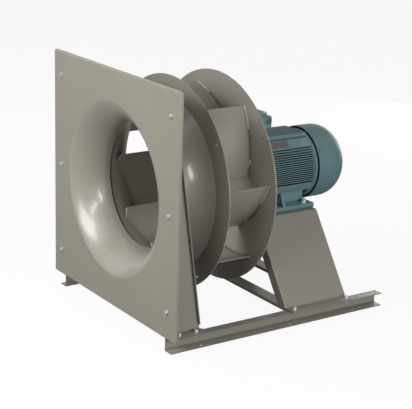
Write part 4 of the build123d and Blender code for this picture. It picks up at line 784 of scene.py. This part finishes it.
@dataclass(frozen=True)
class ThreadStyle:
    """A metric thread, in millimetres; where its ridge lies is given in shares of the pitch."""

    radius: float
    pitch: float
    height: float = 0.28
    sunk: float = 0.1
    run_in: float = 0.2
    crest: float = 0.35
    flank: float = 0.7
    steps: int = 16

    def cut(self, mesh: bmesh.types.BMesh, foot: Vector, way: Vector, length: float) -> None:
        """Wind the thread's ridge on the free end of a shank.

        Args:
            mesh: The mesh that takes the ridge.
            foot: Place on the shank's middle line where the free end begins.
            way: Direction in which the free end points.
            length: Length of the free end, in millimetres.
        """
        side = way.orthogonal().normalized()
        turns = length / self.pitch - 1.0
        low = foot + way * (self.run_in * self.pitch * MM)
        corners = [
            low + side * ((self.radius - self.sunk) * MM),
            low + side * ((self.radius + self.height) * MM) + way * (self.crest * self.pitch * MM),
            low + side * ((self.radius - self.sunk) * MM) + way * (self.flank * self.pitch * MM),
        ]
        verts = [mesh.verts.new(corner) for corner in corners]
        face = mesh.faces.new(verts)
        count = round(turns * self.steps)
        bmesh.ops.spin(mesh, geom=[face, *face.edges, *verts], cent=foot, axis=way,
                       dvec=way * (self.pitch * MM / self.steps), angle=count * math.tau / self.steps,
                       steps=count)


# Sub-assemblies

@dataclass
class SheetFrame:
    """Inlet panel, inlet ring, gussets, rails, crossmembers and stool."""

    flat_nodes: tuple[str, ...] = (
        "inlet_panel", "gusset_left", "gusset_right", "base_rail_left", "base_rail_right",
        "front_crossmember", "rear_crossmember", "motor_stool")

    def dress(self, finishes: Finishes) -> None:
        """Paint the sheet pieces.

        Args:
            finishes: The materials.
        """
        finishes.coat_nodes(SHEET_GREY, *self.flat_nodes)
        finishes.coat_nodes(CONE_GREY_WITH_PAINTED_LIGHT, "inlet_cone")
        LOG.info("sheet frame painted, %d nodes", len(self.flat_nodes) + 1)


@dataclass
class Impeller:
    """Shroud, back plate, blades and hub; lengths in millimetres about the shaft, angles in degrees."""

    blade_count: int = 7
    phase: float = 7.0
    arc_centre: Span = (-0.7, 196.7)
    outer_r: float = 381.7
    tip_angle: float = -31.2
    nose_angle: float = -67.6
    plate_y: float = 397.0
    shroud_y: float = 219.5
    plate_weld: WeldStyle = WeldStyle(leg=3.3, length=2.7)
    shroud_weld: WeldStyle = WeldStyle(leg=2.6, length=2.4)
    tip_gap: float = 1.0
    tip_weld: float = 76.0
    tack: float = 15.0
    tack_gap: float = 58.0

    def arc_points(self, weld: WeldStyle, y: float, start: float, length: float) -> list[Vector]:
        """Give places one weld pitch apart on the outer face of the blade at angle 0.

        Args:
            weld: The weld that is laid on them.
            y: Place of the joint along the shaft.
            start: Distance of the first point from the blade's tip, along the blade.
            length: Length of the weld.

        Returns:
            The places.
        """
        count = round(length / weld.pitch)
        places = []
        for index in range(count + 1):
            turn = math.radians(self.tip_angle) - (start + index * weld.pitch) / self.outer_r
            places.append(fan_place(self.arc_centre[0] + self.outer_r * math.cos(turn), y,
                                    self.arc_centre[1] + self.outer_r * math.sin(turn)))
        return places

    def build_welds(self, finishes: Finishes) -> None:
        """Lay the welds of every blade on the back plate and on the shroud.

        Args:
            finishes: The materials.
        """
        reach = math.radians(self.tip_angle - self.nose_angle) * self.outer_r
        place = about_shaft(self.phase)
        rows = (("blade_welds_rear", self.plate_y, self.plate_weld),
                ("blade_welds_front", self.shroud_y, self.shroud_weld))
        for name, y, weld in rows:
            mesh = bmesh.new()
            for start, length in ((self.tip_gap, self.tip_weld), (reach - self.tack_gap, self.tack)):
                points = [place @ point for point in self.arc_points(weld, y, start, length)]
                weld.lay(mesh, points, Vector((0.0, 1.0, 0.0)))
            bmesh.ops.spin(mesh, geom=[*mesh.verts, *mesh.edges, *mesh.faces], cent=(0.0, 0.0, AXIS_Z),
                           axis=(0.0, 1.0, 0.0), angle=math.tau * (self.blade_count - 1) / self.blade_count,
                           steps=self.blade_count - 1, use_duplicate=True)
            finish_piece(mesh, name, TURNING, finishes.get(WELD_GREY_WITH_PAINTED_GLINT))
        LOG.info("blade welds laid, %d blades", self.blade_count)

    def dress(self, finishes: Finishes) -> None:
        """Paint the wheel and give the hub its metals.

        Args:
            finishes: The materials.
        """
        finishes.coat_nodes(SHROUD_GREY_WITH_PAINTED_LIGHT, "impeller_front_shroud")
        finishes.coat_nodes(SHEET_GREY, "impeller_back_plate", "impeller_blades")
        finishes.coat_nodes(CAST_IRON, "impeller_hub", "taper_bush")
        finishes.coat_nodes(STEEL, "taper_bush_screws")
        finishes.coat_nodes(ZINC, "hub_bolts")
        self.build_welds(finishes)
        LOG.info("impeller dressed")


@dataclass
class Motor:
    """Finned motor with its cowl, shields and inner pieces."""

    def dress(self, finishes: Finishes) -> None:
        """Paint the castings and finish the inner pieces.

        Args:
            finishes: The materials.
        """
        finishes.coat_nodes(MOTOR_GREEN, "motor_frame", "drive_end_shield", "rear_end_shield",
                            "terminal_box_body", "terminal_box_lid")
        finishes.coat_nodes(COWL_GREEN, "fan_cowl", "cowl_screws", "cable_entry_plug")
        finishes.coat_nodes(PLUG_GREY, "side_entry_plug")
        finishes.coat_nodes(STEEL, "motor_shaft", "shaft_key", "rotor_core", "stator_core",
                            "bearing_inner_rings", "bearing_outer_rings", "cooling_fan_clip")
        finishes.coat_nodes(CAST_ALUMINIUM, "rotor_end_rings", "rating_plate_rivets")
        finishes.coat_nodes(WINDING, "stator_windings")
        finishes.coat_nodes(RUBBER, "shaft_seal", "terminal_box_gasket")
        finishes.coat_nodes(PLASTIC, "cooling_fan", "terminal_block")
        finishes.coat_nodes(BRASS, "terminal_studs")
        finishes.coat_nodes(BARE_PLATE, "rating_plate")
        LOG.info("motor dressed")


@dataclass
class Fixings:
    """Bolts, washers, nuts, screws and threads; places in the shared frame, in millimetres."""

    sheet_thread: ThreadStyle = ThreadStyle(radius=4.0, pitch=1.25)
    motor_thread: ThreadStyle = ThreadStyle(radius=5.0, pitch=1.5)
    free_end: float = 5.0
    side_x: float = 349.0
    motor_bolt_x: float = 108.0
    nut_inner_y: float = -438.9
    panel_bolt_z: tuple[float, ...] = (138.0, 451.0, 764.0)
    rail_nut_z: float = 36.4
    rail_bolt_y: tuple[float, ...] = (-403.6, -339.6, 56.4, 278.4)
    motor_nut_z: float = 340.0
    motor_bolt_y: tuple[float, ...] = (85.4, 263.4)
    nodes: tuple[str, ...] = (
        "panel_bolts", "panel_washers", "panel_nuts",
        "gusset_foot_bolts", "gusset_foot_washers", "gusset_foot_nuts",
        "stool_foot_bolts", "stool_foot_washers", "stool_foot_nuts",
        "motor_foot_bolts", "motor_foot_washers", "motor_foot_nuts",
        "shield_screws", "terminal_lid_screws")

    def build_threads(self, finishes: Finishes) -> None:
        """Wind the thread on every free end.

        Args:
            finishes: The materials.
        """
        panel, rail, motor = bmesh.new(), bmesh.new(), bmesh.new()
        for side in (-1.0, 1.0):
            for z in self.panel_bolt_z:
                foot = Vector((side * self.side_x, self.nut_inner_y, z)) * MM
                self.sheet_thread.cut(panel, foot, Vector((0.0, 1.0, 0.0)), self.free_end)
            for y in self.rail_bolt_y:
                foot = Vector((side * self.side_x, y, self.rail_nut_z)) * MM
                self.sheet_thread.cut(rail, foot, Vector((0.0, 0.0, -1.0)), self.free_end)
            for y in self.motor_bolt_y:
                foot = Vector((side * self.motor_bolt_x, y, self.motor_nut_z)) * MM
                self.motor_thread.cut(motor, foot, Vector((0.0, 0.0, 1.0)), self.free_end)
        threads = {"panel_bolt_threads": panel, "rail_bolt_threads": rail, "motor_bolt_threads": motor}
        for name, mesh in threads.items():
            finish_piece(mesh, name, FIXED, finishes.get(ZINC))

    def dress(self, finishes: Finishes) -> None:
        """Plate every fixing.

        Args:
            finishes: The materials.
        """
        finishes.coat_nodes(ZINC, *self.nodes)
        self.build_threads(finishes)
        LOG.info("fixings plated, %d nodes", len(self.nodes))


# Studio

@dataclass(frozen=True)
class SoftBox:
    """One rectangular studio light; a sheen light shows in glossy surfaces and adds no flat light."""

    name: str
    towards: tuple[float, float, float]
    distance: float
    width: float
    height: float
    power: float
    sheen_only: bool = False
    aim: tuple[float, float, float] = (0.0, -0.1, 0.42)

    def hang(self) -> None:
        """Place the light so that it faces the aim point."""
        light = bpy.data.lights.new(self.name, "AREA")
        light.shape = "RECTANGLE"
        light.size = self.width
        light.size_y = self.height
        light.energy = self.power
        lamp = bpy.data.objects.new(self.name, light)
        bpy.context.scene.collection.objects.link(lamp)
        lamp.visible_diffuse = not self.sheen_only
        away = Vector(self.towards).normalized()
        lamp.location = Vector(self.aim) + away * self.distance
        lamp.rotation_euler = (-away).to_track_quat("-Z", "Y").to_euler()


@dataclass
class Studio:
    """Floor, lights, world and the camera that took the photograph."""

    boxes: tuple[SoftBox, ...] = (
        SoftBox("front box", (-0.06, -0.95, 0.37), distance=3.2, width=1.3, height=1.5, power=56.0),
        SoftBox("upper front box", (0.0, -0.80, 0.70), distance=3.4, width=1.8, height=1.8, power=13.0),
        SoftBox("strip box", (0.42, -0.79, 0.44), distance=3.2, width=1.2, height=0.34, power=19.0),
        SoftBox("corner box", (0.745, -0.54, 0.38), distance=3.2, width=0.30, height=0.95, power=18.0,
                sheen_only=True),
        SoftBox("right box", (1.0, -0.06, 0.25), distance=3.4, width=1.8, height=1.8, power=34.0),
        SoftBox("low right box", (0.98, 0.25, 0.08), distance=3.4, width=1.8, height=1.8, power=29.0),
        SoftBox("left box", (-0.85, -0.50, 0.42), distance=3.4, width=2.6, height=2.0, power=11.0),
        SoftBox("back left box", (-0.86, 0.42, 0.44), distance=3.4, width=2.4, height=1.4, power=12.0),
        SoftBox("rear box", (-0.38, 0.92, 0.10), distance=3.4, width=2.0, height=1.4, power=26.0),
    )
    world_level: float = 0.09
    world_mirror: float = 0.22
    floor_size: float = 30.0
    floor_tone: float = 0.92
    floor_roughness: float = 0.9
    floor_mirror: float = 0.16
    floor_glow: float = 0.93
    floor_bounce: float = 0.12
    image_width: float = 412.0
    image_height: float = 409.0
    focal_px: float = 1310.1954
    centre_px: Span = (205.112, 203.3575)
    sensor_mm: float = 36.0
    camera_place: tuple[float, float, float] = (3.56504, -2.50779, 1.64736)
    yaw: float = 55.7616
    pitch: float = -16.7851
    roll: float = 1.7107

    def build(self) -> None:
        """Set the stage."""
        self.lay_floor()
        self.light_world()
        for light in self.boxes:
            light.hang()
        self.place_camera()
        bpy.context.scene.view_settings.view_transform = "Standard"
        LOG.info("studio set, %d lights", len(self.boxes))

    def lay_floor(self) -> None:
        """Lay a wide pale floor under the rails."""
        mesh = bmesh.new()
        bmesh.ops.create_grid(mesh, x_segments=1, y_segments=1, size=self.floor_size)
        data = bpy.data.meshes.new("studio_floor")
        mesh.to_mesh(data)
        mesh.free()
        floor = bpy.data.objects.new("studio_floor", data)
        bpy.context.scene.collection.objects.link(floor)
        material, sheet = new_material("pale floor")
        path = sheet.add("ShaderNodeLightPath")
        seen = sheet.math("MAXIMUM", path.outputs["Is Camera Ray"], path.outputs["Is Transmission Ray"])
        tone = sheet.blend(seen, rgba((self.floor_bounce,) * 3), rgba((self.floor_tone,) * 3))
        shader = sheet.add("ShaderNodeBsdfPrincipled", Base_Color=tone, Roughness=self.floor_roughness,
                           Specular_IOR_Level=0.0)
        glow = sheet.add("ShaderNodeEmission", Color=WHITE, Strength=1.0)
        mirrored = sheet.math("MULTIPLY", path.outputs["Is Glossy Ray"], self.floor_mirror)
        share = sheet.math("MAXIMUM", sheet.math("MULTIPLY", seen, self.floor_glow), mirrored)
        mix = sheet.add("ShaderNodeMixShader")
        sheet.feed(mix.inputs[0], share)
        sheet.feed(mix.inputs[1], shader.outputs[0])
        sheet.feed(mix.inputs[2], glow.outputs[0])
        sheet.add("ShaderNodeOutputMaterial", Surface=mix.outputs[0])
        data.materials.append(material)

    def light_world(self) -> None:
        """White behind the object, and a lower even light on it."""
        world = bpy.data.worlds.new("studio")
        bpy.context.scene.world = world
        world.use_nodes = True
        sheet = NodeSheet(world.node_tree)
        path = sheet.add("ShaderNodeLightPath")
        seen = sheet.math("MAXIMUM", path.outputs["Is Camera Ray"], path.outputs["Is Transmission Ray"])
        glossy = sheet.math("MULTIPLY", path.outputs["Is Glossy Ray"], self.world_mirror)
        level = sheet.math("MAXIMUM", sheet.math("MAXIMUM", seen, glossy), self.world_level)
        back = sheet.add("ShaderNodeBackground", Color=WHITE, Strength=level)
        sheet.add("ShaderNodeOutputWorld", Surface=back.outputs[0])

    def place_camera(self) -> None:
        """Put the camera at the photograph's viewpoint, with its focal length and frame."""
        yaw, pitch, roll = (math.radians(value) for value in (self.yaw, self.pitch, self.roll))
        ahead = Vector((-math.sin(yaw) * math.cos(pitch), math.cos(yaw) * math.cos(pitch), math.sin(pitch)))
        level_right = ahead.cross(Vector((0.0, 0.0, 1.0))).normalized()
        level_up = level_right.cross(ahead)
        right = math.cos(roll) * level_right + math.sin(roll) * level_up
        up = -math.sin(roll) * level_right + math.cos(roll) * level_up
        data = bpy.data.cameras.new("photo_camera")
        data.sensor_fit = "HORIZONTAL"
        data.sensor_width = self.sensor_mm
        data.lens = self.focal_px / self.image_width * self.sensor_mm
        data.shift_x = (self.image_width / 2 - self.centre_px[0]) / self.image_width
        data.shift_y = (self.centre_px[1] - self.image_height / 2) / self.image_width
        camera = bpy.data.objects.new("photo_camera", data)
        bpy.context.scene.collection.objects.link(camera)
        turned = Matrix((right, up, -ahead)).transposed().to_4x4()
        camera.matrix_world = Matrix.Translation(self.camera_place) @ turned
        bpy.context.scene.camera = camera


def main() -> None:
    """Build the pieces in order and report each."""
    logging.basicConfig(level=logging.INFO, format="%(name)s: %(message)s")
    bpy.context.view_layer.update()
    finishes = Finishes()
    SheetFrame().dress(finishes)
    Impeller().dress(finishes)
    Motor().dress(finishes)
    Fixings().dress(finishes)
    Studio().build()


if __name__ == "__main__":
    main()
